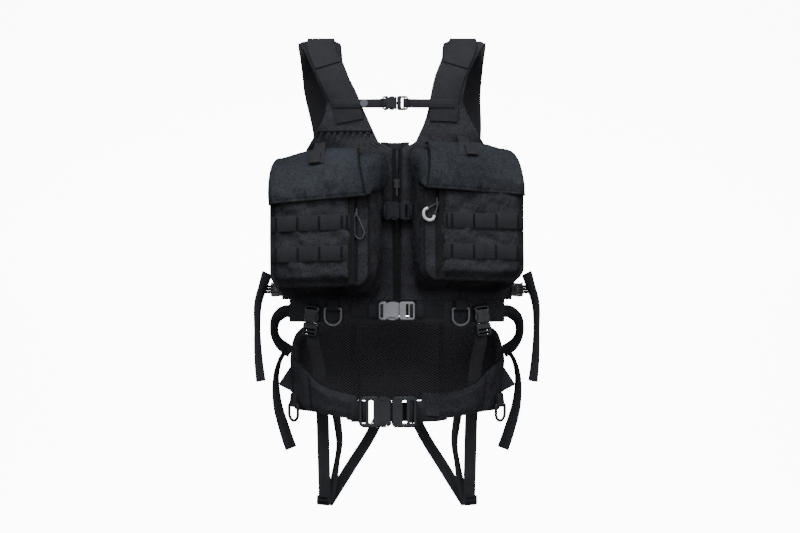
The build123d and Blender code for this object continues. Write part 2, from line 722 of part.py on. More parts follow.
def top_ring_tab(side):
    """Keeper that holds a shoulder ring down on the webbing."""
    x = side * (PAD_TOP_X - 4) - LEAN
    cover = TOP_WIRE / 2 + WIRE_FIT + WEB_T
    block = box(-8, 8, -11, 0, -cover, cover) + Rot(0, 90, 0) * Cylinder(cover, 16)
    block -= Rot(0, 90, 0) * Cylinder(TOP_WIRE / 2 + WIRE_FIT, 20)
    return Pos(x, TOP_RING_Y, TOP_RING_Z) * Rot(-4, 0, 0) * block


def webbing_tabs():
    """Every ring's tab: waistband, belt and shoulders."""
    waist = D_RING_PLACE * ring_tab(22, 10, RING_WIRE / 2 + WIRE_FIT + WEB_T)
    belt = BELT_RING_PLACE * ring_tab(20, 14, RING_WIRE / 2 + WIRE_FIT + WEB_T)
    return both(waist) + both(belt) + [top_ring_tab(-1), top_ring_tab(1)]


# ================================================================ belt
def belt_band(thickness, side_profile):
    """Stretch of the belt: its plan path, cut to a side profile."""
    path = FilletPolyline(*BELT_PLAN, radius=BELT_PLAN_R)
    half = level_strap(path, thickness, -700, -450)
    return half & side_prism(side_profile)


def belt_pad():
    """Lumbar pad of the belt, tall at the back, lower at the hips."""
    split = BELT_SPLIT_Y + CLEAR / 2
    half = belt_band(BELT_PAD_T, [
        (200, -486), (80, -492), (10, -528), (split, -540),
        (split, BELT_BOTTOM_Z), (200, BELT_BOTTOM_Z + 4),
    ])
    return half + across(half)


def belt_wing():
    """Tapering front wing of the belt with its triangular side fin."""
    split = BELT_SPLIT_Y - CLEAR / 2
    wing = belt_band(BELT_WING_T, [
        (split, -541), (-60, -559), (-88, -578), (-112, -588), (-200, -600),
        (-200, BELT_BOTTOM_Z + 4), (split, BELT_BOTTOM_Z),
    ])
    fin = [(180, -550), (204, -577), (203, -588), (189, -602), (180, -614)]
    plane = Plane(origin=(0, -28, 0), x_dir=(1, 0, 0), z_dir=(0, -1, 0))
    return wing + prism(plane, fin, 2.5)


def belt_webs():
    """Webbing that runs from each wing into the belt buckle."""
    low, high = BELT_BUCKLE_Z - BELT_WEB / 2 + 1, BELT_BUCKLE_Z + BELT_WEB / 2 - 1
    webs = []
    for side in (-1, 1):
        near = BELT_BUCKLE_X + side * (BELT_BUCKLE[0] / 2 - 9)
        far = side * (BELT_END[0] + 2)
        ends = sorted((near, far))
        webs.append(box(ends[0], ends[1], BELT_STRAP_Y - WEB_T / 2, BELT_STRAP_Y + WEB_T / 2, low, high))
    return webs


# ================================================================ leg straps
LEG_SLIDER_AT = (124.0, -62.0, -795.0)
LEG_BACK_AT = (26.0, 108.0, BELT_BOTTOM_Z - CLEAR)


def plan_run(start, end):
    """Heading in degrees and plan length between two points."""
    dx, dy = end[0] - start[0], end[1] - start[1]
    return degrees(atan2(dy, dx)), sqrt(dx * dx + dy * dy)


LEG_FRONT_TOP = plan_point(LEG_BUCKLE_X - 3, 1.5)
LEG_STRAP_TOP_Z = LEG_BUCKLE_Z - 8
FRONT_HEADING, FRONT_RUN = plan_run(LEG_FRONT_TOP, LEG_SLIDER_AT)


def leg_front():
    """Front web: from the leg buckle, inside the belt, down to the slider."""
    knee = FRONT_RUN * 0.72
    path = [
        (0, LEG_STRAP_TOP_Z), (0, -516), (knee * 0.86, -560), (knee, -640),
        (FRONT_RUN, LEG_SLIDER_AT[2] - 6),
    ]
    return ribbon(path, [24, 24, 60], LEG_WEB, (*LEG_FRONT_TOP, 0), FRONT_HEADING)


def leg_tail():
    """Free end of the front web, doubled back up from the slider."""
    path = [(0, -786), (3, -740), (0, -690), (-5, -650)]
    start = (LEG_SLIDER_AT[0] - 15, LEG_SLIDER_AT[1] + 4, 0)
    return ribbon(path, [80, 80], LEG_WEB * 0.8, start, FRONT_HEADING)


def leg_rear():
    """Rear web: from the belt's bottom at the back, under the seat, to the slider."""
    heading, run = plan_run(LEG_BACK_AT, LEG_SLIDER_AT)
    reach = run - 5
    path = [(0, LEG_BACK_AT[2]), (6, LEG_BACK_AT[2] - 20), (reach * 0.55, -736), (reach, -798)]
    return ribbon(path, [12, 120], LEG_WEB * 0.8, (LEG_BACK_AT[0], LEG_BACK_AT[1], 0), heading)


FRONT_LEAN = degrees(atan2(FRONT_RUN * 0.28, LEG_SLIDER_AT[2] * -1 - 640))


def leg_slider():
    """Three-bar slider on the front web."""
    frame = extrude(RectangleRounded(27, 17, 3), 1.5, both=True)
    for side in (-1, 1):
        frame -= Pos(0, side * 3.7, 0) * extrude(RectangleRounded(20.6, 3.6, 1), 4, both=True)
    upright = Rot(-FRONT_LEAN, 0, 0) * FACING * frame
    out = WEB_T / 2 + FIT + 1.5
    turn = radians(FRONT_HEADING)
    x = LEG_SLIDER_AT[0] - cos(turn) * (out + 3.0)
    y = LEG_SLIDER_AT[1] - sin(turn) * (out + 3.0)
    return Pos(x, y, LEG_SLIDER_AT[2] + 3) * Rot(0, 0, FRONT_HEADING - 90) * upright


# ================================================================ side straps
LOCK_AT = (221.0, -92.0, -426.0)


def side_lock():
    """Ladder lock at the vest's side, below the pocket's outer edge."""
    frame = extrude(RectangleRounded(27, 15, 2.5), 2.0, both=True)
    for side in (-1, 1):
        frame -= Pos(0, side * 3.0, 0) * extrude(RectangleRounded(21, 2.8, 0.8), 5, both=True)
    return Pos(*LOCK_AT) * Rot(-35, 0, 0) * FACING * frame


def side_web():
    """Web from the side lock back to the edge of the back panel."""
    path = FilletPolyline(
        (213, LOCK_AT[1] + 8), (215, -10), (176, 84), (BACK_HALF + 8, 92), radius=[70, 25]
    )
    return level_strap(path, WEB_T, -440, -415)


def side_tail():
    """Free end of the side web, hanging from the lock."""
    path = [(3, -398), (-6, -420), (16, -455), (14, -520), (12, -582)]
    return ribbon(path, [12, 26, 200], WAIST_WEB * 0.8, (227, -110, 0), 40)


def link_loop():
    """Slack loop that ties the waistband's end to the belt."""
    path = [(0, -466), (31, -474), (33, -520), (-2, -533)]
    return ribbon(path, [15, 17], WAIST_WEB * 0.8, (188, -58, 0), 38)


def link_tail():
    """Free end of the link web, hanging past the belt's fin."""
    path = [(0, -546), (17, -578), (14, -640), (-14, -708)]
    return ribbon(path, [30, 150], WAIST_WEB * 0.8, (199, -22, 0), -20)


def side_straps():
    """All webs at the vest's sides."""
    return [shape for web in (side_web(), side_tail(), link_loop(), link_tail()) for shape in both(web)]


# ================================================================ assembly
def build():
    """Every sub-part by its node name."""
    nodes = {
        "back_panel": [back_panel()],
        "haul_loop": [haul_loop()],
        "shoulder_pad_right": [shoulder_pad(-1)],
        "shoulder_pad_left": [shoulder_pad(1)],
        "shoulder_webbing": [shoulder_web(-1), shoulder_web(1)],
        "front_zip_chain": [zip_chain()],
        "front_zip_slider": [zip_slider()],
        "front_zip_pull": [zip_pull()],
        "sternum_strap": sternum_strap(),
        "sternum_snap": [sternum_snap()],
        "zip_strap": zip_strap(),
        "waistband": waistband(),
        "webbing_tabs": webbing_tabs(),
        "belt_pad": [belt_pad()],
        "belt_wings": both(belt_wing()),
        "belt_webbing": belt_webs(),
        "leg_straps": both(leg_front()) + both(leg_tail()) + both(leg_rear()),
        "side_straps": side_straps(),
        "side_ladder_locks": both(side_lock()),
    }
    panel = chest_panel()
    place = pocket_place()
    left = {
        "chest_panel": [panel],
        "pocket": [place * pocket_shell()],
        "pouch": [place * front_pouch()],
        "pocket_flap": [place * piece for piece in pocket_flap()],
        "pouch_zip_pull": [place * pouch_pull()],
        "d_ring": [D_RING_PLACE * ring(*D_RING)],
        "belt_ring": [BELT_RING_PLACE * ring(*BELT_RING)],
        "leg_slider": [leg_slider()],
    }
    for name, pieces in left.items():
        nodes[name + "_left"] = pieces
        nodes[name + "_right"] = [across(piece) for piece in pieces]
    nodes["load_webbing"] = [s for row in load_rows() for s in both(place * row)]
    for side, name in ((-1, "right"), (1, "left")):
        nodes["shoulder_ring_" + name] = [top_ring_place(side) * ring(*TOP_RING, TOP_WIRE)]

    front_buckles = {
        "sternum": (buckle(STERNUM_BUCKLE), STERNUM_PLACE, STERNUM_BUCKLE),
        "zip": (buckle(ZIP_BUCKLE), ZIP_PLACE, ZIP_BUCKLE),
        "waist": (buckle(WAIST_BUCKLE), WAIST_PLACE, WAIST_BUCKLE),
        "belt": (buckle(BELT_BUCKLE, 2), BELT_PLACE, BELT_BUCKLE),
    }
    for name, (parts, spot, size) in front_buckles.items():
        placed = place_buckle(parts, spot, size)
        nodes[name + "_buckle_socket"] = [placed["socket"]]
        nodes[name + "_buckle_plug"] = [placed["plug"]]
        nodes[name + "_latch_upper"] = [placed["upper"]]
        nodes[name + "_latch_lower"] = [placed["lower"]]
    leg = place_buckle(buckle(LEG_BUCKLE), LEG_PLACE, LEG_BUCKLE)
    nodes["leg_buckle_sockets"] = both(leg["socket"])
    nodes["leg_buckle_plugs"] = both(leg["plug"])
    for name, key in (("outer", "upper"), ("inner", "lower")):
        nodes[f"leg_latch_{name}_left"] = [leg[key]]
        nodes[f"leg_latch_{name}_right"] = [across(leg[key])]
    return nodes


if __name__ == "__main__":
    built = build()
    for node, pieces in built.items():
        export_step(solids_of(pieces), f"parts/{node}.step")
    print(len(built), "nodes written")
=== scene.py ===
# %% [markdown]
# # Safety harness vest
# A vest like this is many flat and padded layers sewn together: shoulder pads, chest panels, deep pockets,
# a lumbar belt and a lot of webbing. The hard pieces (buckles, rings, sliders) come ready from the frame and
# only get materials. Every soft piece is built here as its own mesh, in the space its plain solid holds.

# %% Load the frame
import json
from math import asin, atan2, ceil, cos, exp, hypot, pi, radians, sin, sqrt
import bpy
import bmesh
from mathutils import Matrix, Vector, noise


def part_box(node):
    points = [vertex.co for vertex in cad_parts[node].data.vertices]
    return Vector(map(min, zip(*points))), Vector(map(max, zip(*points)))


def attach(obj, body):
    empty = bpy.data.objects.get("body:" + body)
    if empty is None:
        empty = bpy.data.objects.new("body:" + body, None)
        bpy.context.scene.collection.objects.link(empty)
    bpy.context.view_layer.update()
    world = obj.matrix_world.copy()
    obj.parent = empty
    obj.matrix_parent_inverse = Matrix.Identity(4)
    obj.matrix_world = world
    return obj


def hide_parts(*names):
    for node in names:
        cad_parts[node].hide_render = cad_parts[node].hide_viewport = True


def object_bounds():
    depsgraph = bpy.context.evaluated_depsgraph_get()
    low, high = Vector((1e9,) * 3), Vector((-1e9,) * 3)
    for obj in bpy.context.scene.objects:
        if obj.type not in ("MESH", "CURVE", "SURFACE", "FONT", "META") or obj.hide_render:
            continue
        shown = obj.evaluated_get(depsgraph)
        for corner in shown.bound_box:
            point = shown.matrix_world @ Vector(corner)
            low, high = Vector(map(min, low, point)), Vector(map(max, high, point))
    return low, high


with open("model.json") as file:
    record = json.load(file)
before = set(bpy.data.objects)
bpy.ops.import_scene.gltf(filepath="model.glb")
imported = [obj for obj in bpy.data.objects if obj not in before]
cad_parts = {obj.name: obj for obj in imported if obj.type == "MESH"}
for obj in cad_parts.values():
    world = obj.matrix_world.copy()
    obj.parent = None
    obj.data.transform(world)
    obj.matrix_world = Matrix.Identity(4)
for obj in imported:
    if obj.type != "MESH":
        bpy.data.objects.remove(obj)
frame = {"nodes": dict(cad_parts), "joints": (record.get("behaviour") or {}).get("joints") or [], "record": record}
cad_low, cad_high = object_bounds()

MM = 0.001

# %% [markdown]
# ## Camera, floor and light
# The vest hangs upright and is seen straight on from a little under three metres, level with its middle. A
# long lens keeps it free of distortion. The floor curves up behind it, as a studio sweep does. It starts
# behind the vest and well below it, because glowing paper under the vest would light its undersides.

# %% Camera
VIEW_DISTANCE = 2.6
VIEW_HEIGHT = -0.387
camera_data = bpy.data.cameras.new("camera")
camera_data.sensor_width = 36
camera_data.lens = 65.8
camera_data.clip_start, camera_data.clip_end = 0.05, 60
camera = bpy.data.objects.new("camera", camera_data)
camera.location = (0.0053, -VIEW_DISTANCE, VIEW_HEIGHT)
camera.rotation_euler = (pi / 2, 0, 0)
bpy.context.scene.collection.objects.link(camera)
bpy.context.scene.camera = camera

# %% Studio sweep
SWEEP_HALF = 2.1
SWEEP_FRONT, SWEEP_BACK = 1.6, 4.0
SWEEP_RADIUS = 1.2
SWEEP_RISE = 2.55
FLOOR_Z = cad_low.z - 0.65


def sweep_profile():
    """Depth and height of the sweep, from the front of the floor to the top of the wall."""
    turn = [(SWEEP_BACK - SWEEP_RADIUS * (1 - sin(a)), FLOOR_Z + SWEEP_RADIUS * (1 - cos(a)))
            for a in (pi / 2 * n / 16 for n in range(17))]
    return [(SWEEP_FRONT, FLOOR_Z)] + turn + [(SWEEP_BACK, FLOOR_Z + SWEEP_RISE)]


def glowing_paper(name, colour, roughness, glow):
    """Back-lit white paper, for the sweep only."""
    material = bpy.data.materials.new(name)
    material.use_nodes = True
    shader = material.node_tree.nodes["Principled BSDF"]
    shader.inputs["Base Color"].default_value = (*colour, 1)
    shader.inputs["Roughness"].default_value = roughness
    shader.inputs["Emission Color"].default_value = (1, 1, 1, 1)
    shader.inputs["Emission Strength"].default_value = glow
    return material


profile = sweep_profile()
sweep_mesh = bpy.data.meshes.new("studio_sweep")
sweep_mesh.from_pydata(
    [(x, y, z) for y, z in profile for x in (-SWEEP_HALF, SWEEP_HALF)], [],
    [(2 * n, 2 * n + 1, 2 * n + 3, 2 * n + 2) for n in range(len(profile) - 1)])
sweep_mesh.shade_smooth()
sweep_mesh.materials.append(glowing_paper("sweep_white", (0.93, 0.93, 0.93), 0.9, 9.0))
studio_sweep = bpy.data.objects.new("studio_sweep", sweep_mesh)
bpy.context.scene.collection.objects.link(studio_sweep)
print("sweep floor at", round(FLOOR_Z, 3))

# %% Lights
world = bpy.data.worlds.new("studio")
world.use_nodes = True
backdrop = world.node_tree.nodes["Background"]
backdrop.inputs["Strength"].default_value = 0.62
sky_place = world.node_tree.nodes.new("ShaderNodeTexCoord")
sky_height = world.node_tree.nodes.new("ShaderNodeSeparateXYZ")
sky_ramp = world.node_tree.nodes.new("ShaderNodeValToRGB")
sky_ramp.color_ramp.elements[0].position, sky_ramp.color_ramp.elements[0].color = 0.05, (0.30, 0.30, 0.30, 1)
sky_ramp.color_ramp.elements[1].position, sky_ramp.color_ramp.elements[1].color = 0.55, (0.96, 0.98, 1.0, 1)
world.node_tree.links.new(sky_place.outputs["Generated"], sky_height.inputs["Vector"])
world.node_tree.links.new(sky_height.outputs["Z"], sky_ramp.inputs["Fac"])
world.node_tree.links.new(sky_ramp.outputs["Color"], backdrop.inputs["Color"])
bpy.context.scene.world = world


def soft_light(name, place, target, size, power):
    """A square soft box that looks at a target."""
    data = bpy.data.lights.new(name, "AREA")
    data.shape = "RECTANGLE"
    data.size, data.size_y = size
    data.energy = power
    lamp = bpy.data.objects.new(name, data)
    lamp.location = place
    lamp.rotation_euler = (Vector(target) - Vector(place)).to_track_quat("-Z", "Y").to_euler()
    bpy.context.scene.collection.objects.link(lamp)
    return lamp


MIDDLE = (0, 0, VIEW_HEIGHT)
LOW = (0, 0, VIEW_HEIGHT - 0.15)
soft_light("overhead", (-0.2, -1.5, 1.7), MIDDLE, (1.6, 0.9), 150)
soft_light("left_box", (-2.0, -2.2, 0.6), MIDDLE, (1.0, 1.8), 30)
soft_light("right_box", (2.0, -2.2, 0.6), MIDDLE, (1.0, 1.8), 62)
soft_light("front_fill", (0.0, -3.0, 1.25), MIDDLE, (2.0, 1.0), 36)

soft_light("low_fill", (0.0, -2.7, -1.6), LOW, (2.4, 0.9), 27)

# %% [markdown]
# ## Finishes
# A few families of finish cover the vest. Nylon cloth has a plain weave, so two crossed waves make its
# bump. Webbing is ribbed across its width, so it reads the strap's own UV map, in metres. Spacer mesh is an
# open knit, so round cells sink below the surface. The plastics and the coated wire get fine grain and
# slightly uneven colour.


# %% Node helpers
def finish_nodes(name, colour, roughness, sheen=0.0, specular=0.5):
    """A principled finish with its constant values set on the shader itself."""
    material = bpy.data.materials.new(name)
    material.use_nodes = True
    tree = material.node_tree
    shader = tree.nodes["Principled BSDF"]
    shader.inputs["Base Color"].default_value = (*colour, 1)
    shader.inputs["Roughness"].default_value = roughness
    shader.inputs["Specular IOR Level"].default_value = specular
    shader.inputs["Sheen Weight"].default_value = sheen
    shader.inputs["Sheen Roughness"].default_value = 0.45
    return material, tree, shader


def add(tree, kind, **values):
    """A new node with its plain values and named inputs set."""
    node = tree.nodes.new(kind)
    for key, value in values.items():
        if key in node.inputs:
            node.inputs[key].default_value = value
        else:
            setattr(node, key, value)
    return node


def mottled(tree, shader, source, colour, spread, scale):
    """Cloudy change of colour over the surface."""
    cloud = add(tree, "ShaderNodeTexNoise", Scale=scale, Detail=4.0)
    ramp = add(tree, "ShaderNodeValToRGB")
    ramp.color_ramp.elements[0].position, ramp.color_ramp.elements[1].position = 0.3, 0.7
    ramp.color_ramp.elements[0].color = (*[c * (1 - spread) for c in colour], 1)
    ramp.color_ramp.elements[1].color = (*[c * (1 + spread) for c in colour], 1)
    tree.links.new(source, cloud.inputs["Vector"])
    tree.links.new(cloud.outputs["Fac"], ramp.inputs["Fac"])
    tree.links.new(ramp.outputs["Color"], shader.inputs["Base Color"])


def speckled(tree, shader, source, colour, spread):
    """Yarn-sized specks over a slow change of colour, as on textured nylon."""
    slow = add(tree, "ShaderNodeTexNoise", Scale=9.0, Detail=3.0)
    fine = add(tree, "ShaderNodeTexNoise", Scale=560.0, Detail=1.0)
    tree.links.new(source, slow.inputs["Vector"])
    tree.links.new(source, fine.inputs["Vector"])
    both = math_node(tree, "ADD", math_node(tree, "MULTIPLY", slow.outputs["Fac"], 0.4),
                     math_node(tree, "MULTIPLY", fine.outputs["Fac"], 0.6))
    ramp = add(tree, "ShaderNodeValToRGB")
    ramp.color_ramp.elements[0].position, ramp.color_ramp.elements[1].position = 0.38, 0.62
    ramp.color_ramp.elements[0].color = (*[c * (1 - 2.4 * spread) for c in colour], 1)
    ramp.color_ramp.elements[1].color = (*[c * (1 + 3.2 * spread) for c in colour], 1)
    tree.links.new(both, ramp.inputs["Fac"])
    tree.links.new(ramp.outputs["Color"], shader.inputs["Base Color"])


def bands(tree, source, direction, pitch):
    """Even waves across a surface, one every pitch metres."""
    wave = add(tree, "ShaderNodeTexWave", wave_type="BANDS", bands_direction=direction,
               wave_profile="SIN", Scale=0.314 / pitch)
    tree.links.new(source, wave.inputs["Vector"])
    return wave.outputs["Fac"]


def math_node(tree, operation, a, b):
    """A math node on two sockets or numbers."""
    node = add(tree, "ShaderNodeMath", operation=operation)
    for n, value in enumerate((a, b)):
        if isinstance(value, (int, float)):
            node.inputs[n].default_value = value
        else:
            tree.links.new(value, node.inputs[n])
    return node.outputs[0]


def relief(tree, shader, height, depth):
    """Bump from a height, with its depth in metres."""
    bump = add(tree, "ShaderNodeBump", Strength=1.0, Distance=depth)
    tree.links.new(height, bump.inputs["Height"])
    tree.links.new(bump.outputs["Normal"], shader.inputs["Normal"])


# %% Nylon cloth
CLOTH_PITCH = 1.1 * MM
CREASE_SCALE = 19.0


def nylon(name, colour, spread=0.16, sheen=0.0, crease=0.55):
    """Coated plain-weave nylon with soft creases."""
    material, tree, shader = finish_nodes(name, colour, 0.72, sheen, 0.0)
    place = add(tree, "ShaderNodeTexCoord").outputs["Object"]
    speckled(tree, shader, place, colour, spread)
    warp = bands(tree, place, "X", CLOTH_PITCH)
    weft = math_node(tree, "ADD", bands(tree, place, "Z", CLOTH_PITCH), bands(tree, place, "Y", CLOTH_PITCH))
    weave = math_node(tree, "MULTIPLY", math_node(tree, "ADD", warp, weft), 0.16)
    cloud = add(tree, "ShaderNodeTexNoise", Scale=CREASE_SCALE, Detail=1.6, Roughness=0.5)
    tree.links.new(place, cloud.inputs["Vector"])
    creased = math_node(tree, "MULTIPLY", cloud.outputs["Fac"], crease * 19)
    relief(tree, shader, math_node(tree, "ADD", weave, creased), 1.1 * MM)
    return material


CLOTH = nylon("nylon_cloth", (0.0130, 0.0132, 0.0155), 0.17, crease=0.8)
FLAP_CLOTH = nylon("flap_cloth", (0.0122, 0.0136, 0.0162), 0.17, crease=1.15)
LINING = nylon("lining_cloth", (0.006, 0.006, 0.007), sheen=0.0)

# %% Webbing
RIB_PITCH = 1.7 * MM


def webbing(name, colour):
    """Woven strap with ribs across it and two fine lines along it."""
    material, tree, shader = finish_nodes(name, colour, 0.68, 0.0, 0.02)
    place = add(tree, "ShaderNodeTexCoord").outputs["UV"]
    mottled(tree, shader, place, colour, 0.12, 30.0)
    rib = bands(tree, place, "Y", RIB_PITCH)
    line = math_node(tree, "MULTIPLY", bands(tree, place, "X", 2.4 * MM), 0.45)
    relief(tree, shader, math_node(tree, "ADD", rib, line), 0.45 * MM)
    return material


WEB = webbing("black_webbing", (0.0126, 0.0128, 0.0148))
BINDING = webbing("edge_binding", (0.0062, 0.0062, 0.0068))

# %% Spacer mesh
MESH_CELL = 3.4 * MM


def spacer_mesh(name, colour):
    """Open knit over foam, with round cells whose middles are painted dark, as shade down in the holes."""
    material, tree, shader = finish_nodes(name, colour, 0.8, 0.0, 0.02)
    place = add(tree, "ShaderNodeTexCoord").outputs["UV"]
    turned = add(tree, "ShaderNodeMapping")
    turned.inputs["Rotation"].default_value = (0, 0, pi / 4)
    cell = add(tree, "ShaderNodeTexVoronoi", Scale=1 / MESH_CELL, Randomness=0.12)
    tree.links.new(place, turned.inputs["Vector"])
    tree.links.new(turned.outputs["Vector"], cell.inputs["Vector"])
    # Painted shade: each cell's middle is darkened to a quarter of the colour, for the shade down in the knit's
    # holes.
    ramp = add(tree, "ShaderNodeValToRGB")
    ramp.color_ramp.elements[0].position, ramp.color_ramp.elements[1].position = 0.26, 0.42
    ramp.color_ramp.elements[0].color = (*[c * 0.25 for c in colour], 1)
    ramp.color_ramp.elements[1].color = (*[c * 1.25 for c in colour], 1)
    tree.links.new(cell.outputs["Distance"], ramp.inputs["Fac"])
    tree.links.new(ramp.outputs["Color"], shader.inputs["Base Color"])
    relief(tree, shader, ramp.outputs["Color"], 14 * MM)
    return material


AIR_MESH = spacer_mesh("spacer_mesh", (0.0150, 0.0150, 0.0175))
BELT_MESH = spacer_mesh("belt_mesh", (0.0260, 0.0260, 0.0300))

# %% Plastic, wire and thread


def moulded(name, colour, roughness, grain=0.12):
    """Satin moulded plastic with a fine spark-eroded grain."""
    material, tree, shader = finish_nodes(name, colour, roughness, 0.0, 0.26)
    place = add(tree, "ShaderNodeTexCoord").outputs["Object"]
    mottled(tree, shader, place, colour, 0.08, 60.0)
    speck = add(tree, "ShaderNodeTexNoise", Scale=1400.0, Detail=2.0)
    tree.links.new(place, speck.inputs["Vector"])
    relief(tree, shader, speck.outputs["Fac"], grain * MM)
    return material


BLACK_PLASTIC = moulded("black_acetal", (0.0068, 0.0076, 0.0095), 0.24)
DARK_METAL = moulded("coated_metal", (0.0050, 0.0052, 0.0062), 0.5, 0.05)
SNAP_METAL = moulded("snap_metal", (0.036, 0.040, 0.048), 0.42, 0.05)
GREY_PLASTIC = moulded("grey_acetal", (0.085, 0.087, 0.098), 0.5)
# Part coat, part painted highlight: the wire's grey sits well above the black of the other rings, so the D-rings
# carry their bright highlights in their colour.
WIRE = moulded("coated_wire", (0.060, 0.062, 0.070), 0.4, 0.05)
TEETH = moulded("zip_teeth", (0.0035, 0.0035, 0.004), 0.6, 0.03)
TEETH.node_tree.nodes["Principled BSDF"].inputs["Specular IOR Level"].default_value = 0.1
THREAD = moulded("thread", (0.0022, 0.0022, 0.0025), 0.9, 0.05)
THREAD.node_tree.nodes["Principled BSDF"].inputs["Specular IOR Level"].default_value = 0.0
CORD = webbing("pull_cord", (0.035, 0.036, 0.040))
GRIP = moulded("cord_grip", (0.22, 0.225, 0.235), 0.4)
RING_COAT = moulded("ring_coat", (0.010, 0.010, 0.012), 0.6, 0.05)
RING_COAT.node_tree.nodes["Principled BSDF"].inputs["Specular IOR Level"].default_value = 0.08
MATT_PLASTIC = moulded("matt_acetal", (0.008, 0.0085, 0.010), 0.6)
MATT_PLASTIC.node_tree.nodes["Principled BSDF"].inputs["Specular IOR Level"].default_value = 0.12
FUZZ = nylon("hook_and_loop", (0.0085, 0.0085, 0.0098), 0.3, 0.0, 0.8)
FUZZ.node_tree.nodes["Principled BSDF"].inputs["Specular IOR Level"].default_value = 0.0

# %% Give the hard pieces their finish
HARD_FINISH = {
    "black_acetal": BLACK_PLASTIC,
    "grey_acetal": GREY_PLASTIC,
    "coated_wire": WIRE,
    "coated_metal": DARK_METAL,
    "zip_teeth": TEETH,
}
slots = {entry["node"]: entry["material_slot"] for entry in frame["record"]["subparts"]}
painted = 0
for node, node_object in frame["nodes"].items():
    finish = HARD_FINISH.get(slots[node])
    if finish:
        node_object.data.materials.clear()
        node_object.data.materials.append(finish)
        painted += 1
frame["nodes"]["sternum_snap"].data.materials.clear()
frame["nodes"]["sternum_snap"].data.materials.append(SNAP_METAL)
for node, finish in (("belt_ring_left", RING_COAT), ("belt_ring_right", RING_COAT),
                     ("shoulder_ring_left", RING_COAT), ("shoulder_ring_right", RING_COAT),
                     ("side_ladder_locks", MATT_PLASTIC)):
    frame["nodes"][node].data.materials.clear()
    frame["nodes"][node].data.materials.append(finish)
for node in ("belt_ring_left", "belt_ring_right"):
    coat = frame["nodes"][node].modifiers.new("thick_coat", "DISPLACE")
    coat.strength, coat.mid_level = 0.8 * MM, 0.0
print("hard pieces painted", painted)

# %% [markdown]
# ## Ways to make a soft piece
# Three shapes do nearly all the work. A strap is a ribbon swept along a smooth path. A pad is a front surface
# and a back surface joined round the rim. A tray is one panel with walls on three sides, which makes the
# pockets; the flaps are single sheets. Each builder takes a function that gives a point in millimetres.


# %% Mesh helpers
def piece_from(name, points, faces, materials, body="root", stands_for=(), uvs=None, index=None):
    """A mesh object from millimetre points, riding on a body."""
    mesh = bpy.data.meshes.new(name)
    mesh.from_pydata([Vector(p) * MM for p in points], [], faces)
    for material in materials:
        mesh.materials.append(material)
    if uvs is not None:
        layer = mesh.uv_layers.new(name="UVMap")
        for loop in mesh.loops:
            layer.data[loop.index].uv = Vector(uvs[loop.vertex_index]) * MM
    if index is not None:
        for polygon, value in zip(mesh.polygons, index):
            polygon.material_index = value
    shell = bmesh.new()
    shell.from_mesh(mesh)
    bmesh.ops.recalc_face_normals(shell, faces=shell.faces)
    shell.to_mesh(mesh)
    shell.free()
    mesh.shade_smooth()
    mesh.set_sharp_from_angle(angle=radians(50))
    piece = bpy.data.objects.new(name, mesh)
    bpy.context.scene.collection.objects.link(piece)
    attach(piece, body)
    if stands_for:
        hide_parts(*stands_for)
    return piece


def smooth_line(points, step):
    """Points every step millimetres on a smooth curve through the given points."""
    points = [Vector(p) for p in points]
    ends = [points[0] * 2 - points[1]] + points + [points[-1] * 2 - points[-2]]
    line = []
    for n in range(len(points) - 1):
        before, a, b, after = ends[n:n + 4]
        count = max(1, ceil((b - a).length / step))
        for k in range(count):
            t = k / count
            line.append(0.5 * ((2 * a) + (b - before) * t + (2 * before - 5 * a + 4 * b - after) * t * t
                               + (3 * a - before - 3 * b + after) * t ** 3))
    line.append(points[-1])
    return line


def strap(name, path, across, width, thick, material=None, body="root", stands_for=(),
          step=5.0):
    """A ribbon of webbing: path points, and the direction of its width at each."""
    material = material or WEB
    line = smooth_line(path, step)
    wide = smooth_line([Vector(a).normalized() * 100 for a in across], step)
    half, lip = width / 2, min(thick * 0.5, 0.9)
    section = [(-half, -thick * 0.2), (-half + lip, -thick / 2), (0, -thick / 2), (half - lip, -thick / 2),
               (half, -thick * 0.2), (half, thick * 0.2), (half - lip, thick / 2), (0, thick / 2),
               (-half + lip, thick / 2), (-half, thick * 0.2)]
    points, uvs, run = [], [], 0.0
    last = len(line) - 1
    for n, spot in enumerate(line):
        along = (line[min(n + 1, last)] - line[max(n - 1, 0)]).normalized()
        share = n / last * (len(wide) - 1)
        low = int(share)
        side = wide[low].lerp(wide[min(low + 1, len(wide) - 1)], share - low)
        side = (side - along * side.dot(along)).normalized()
        normal = along.cross(side)
        run += (spot - line[n - 1]).length if n else 0.0
        for x, y in section:
            points.append(spot + side * x + normal * y)
            uvs.append((x, run))
    size = len(section)
    faces = [(a * size + b, a * size + (b + 1) % size, (a + 1) * size + (b + 1) % size, (a + 1) * size + b)
             for a in range(last) for b in range(size)]
    faces.append(tuple(range(size)))
    faces.append(tuple(last * size + b for b in reversed(range(size))))
    return piece_from(name, points, faces, [material], body, stands_for, uvs)


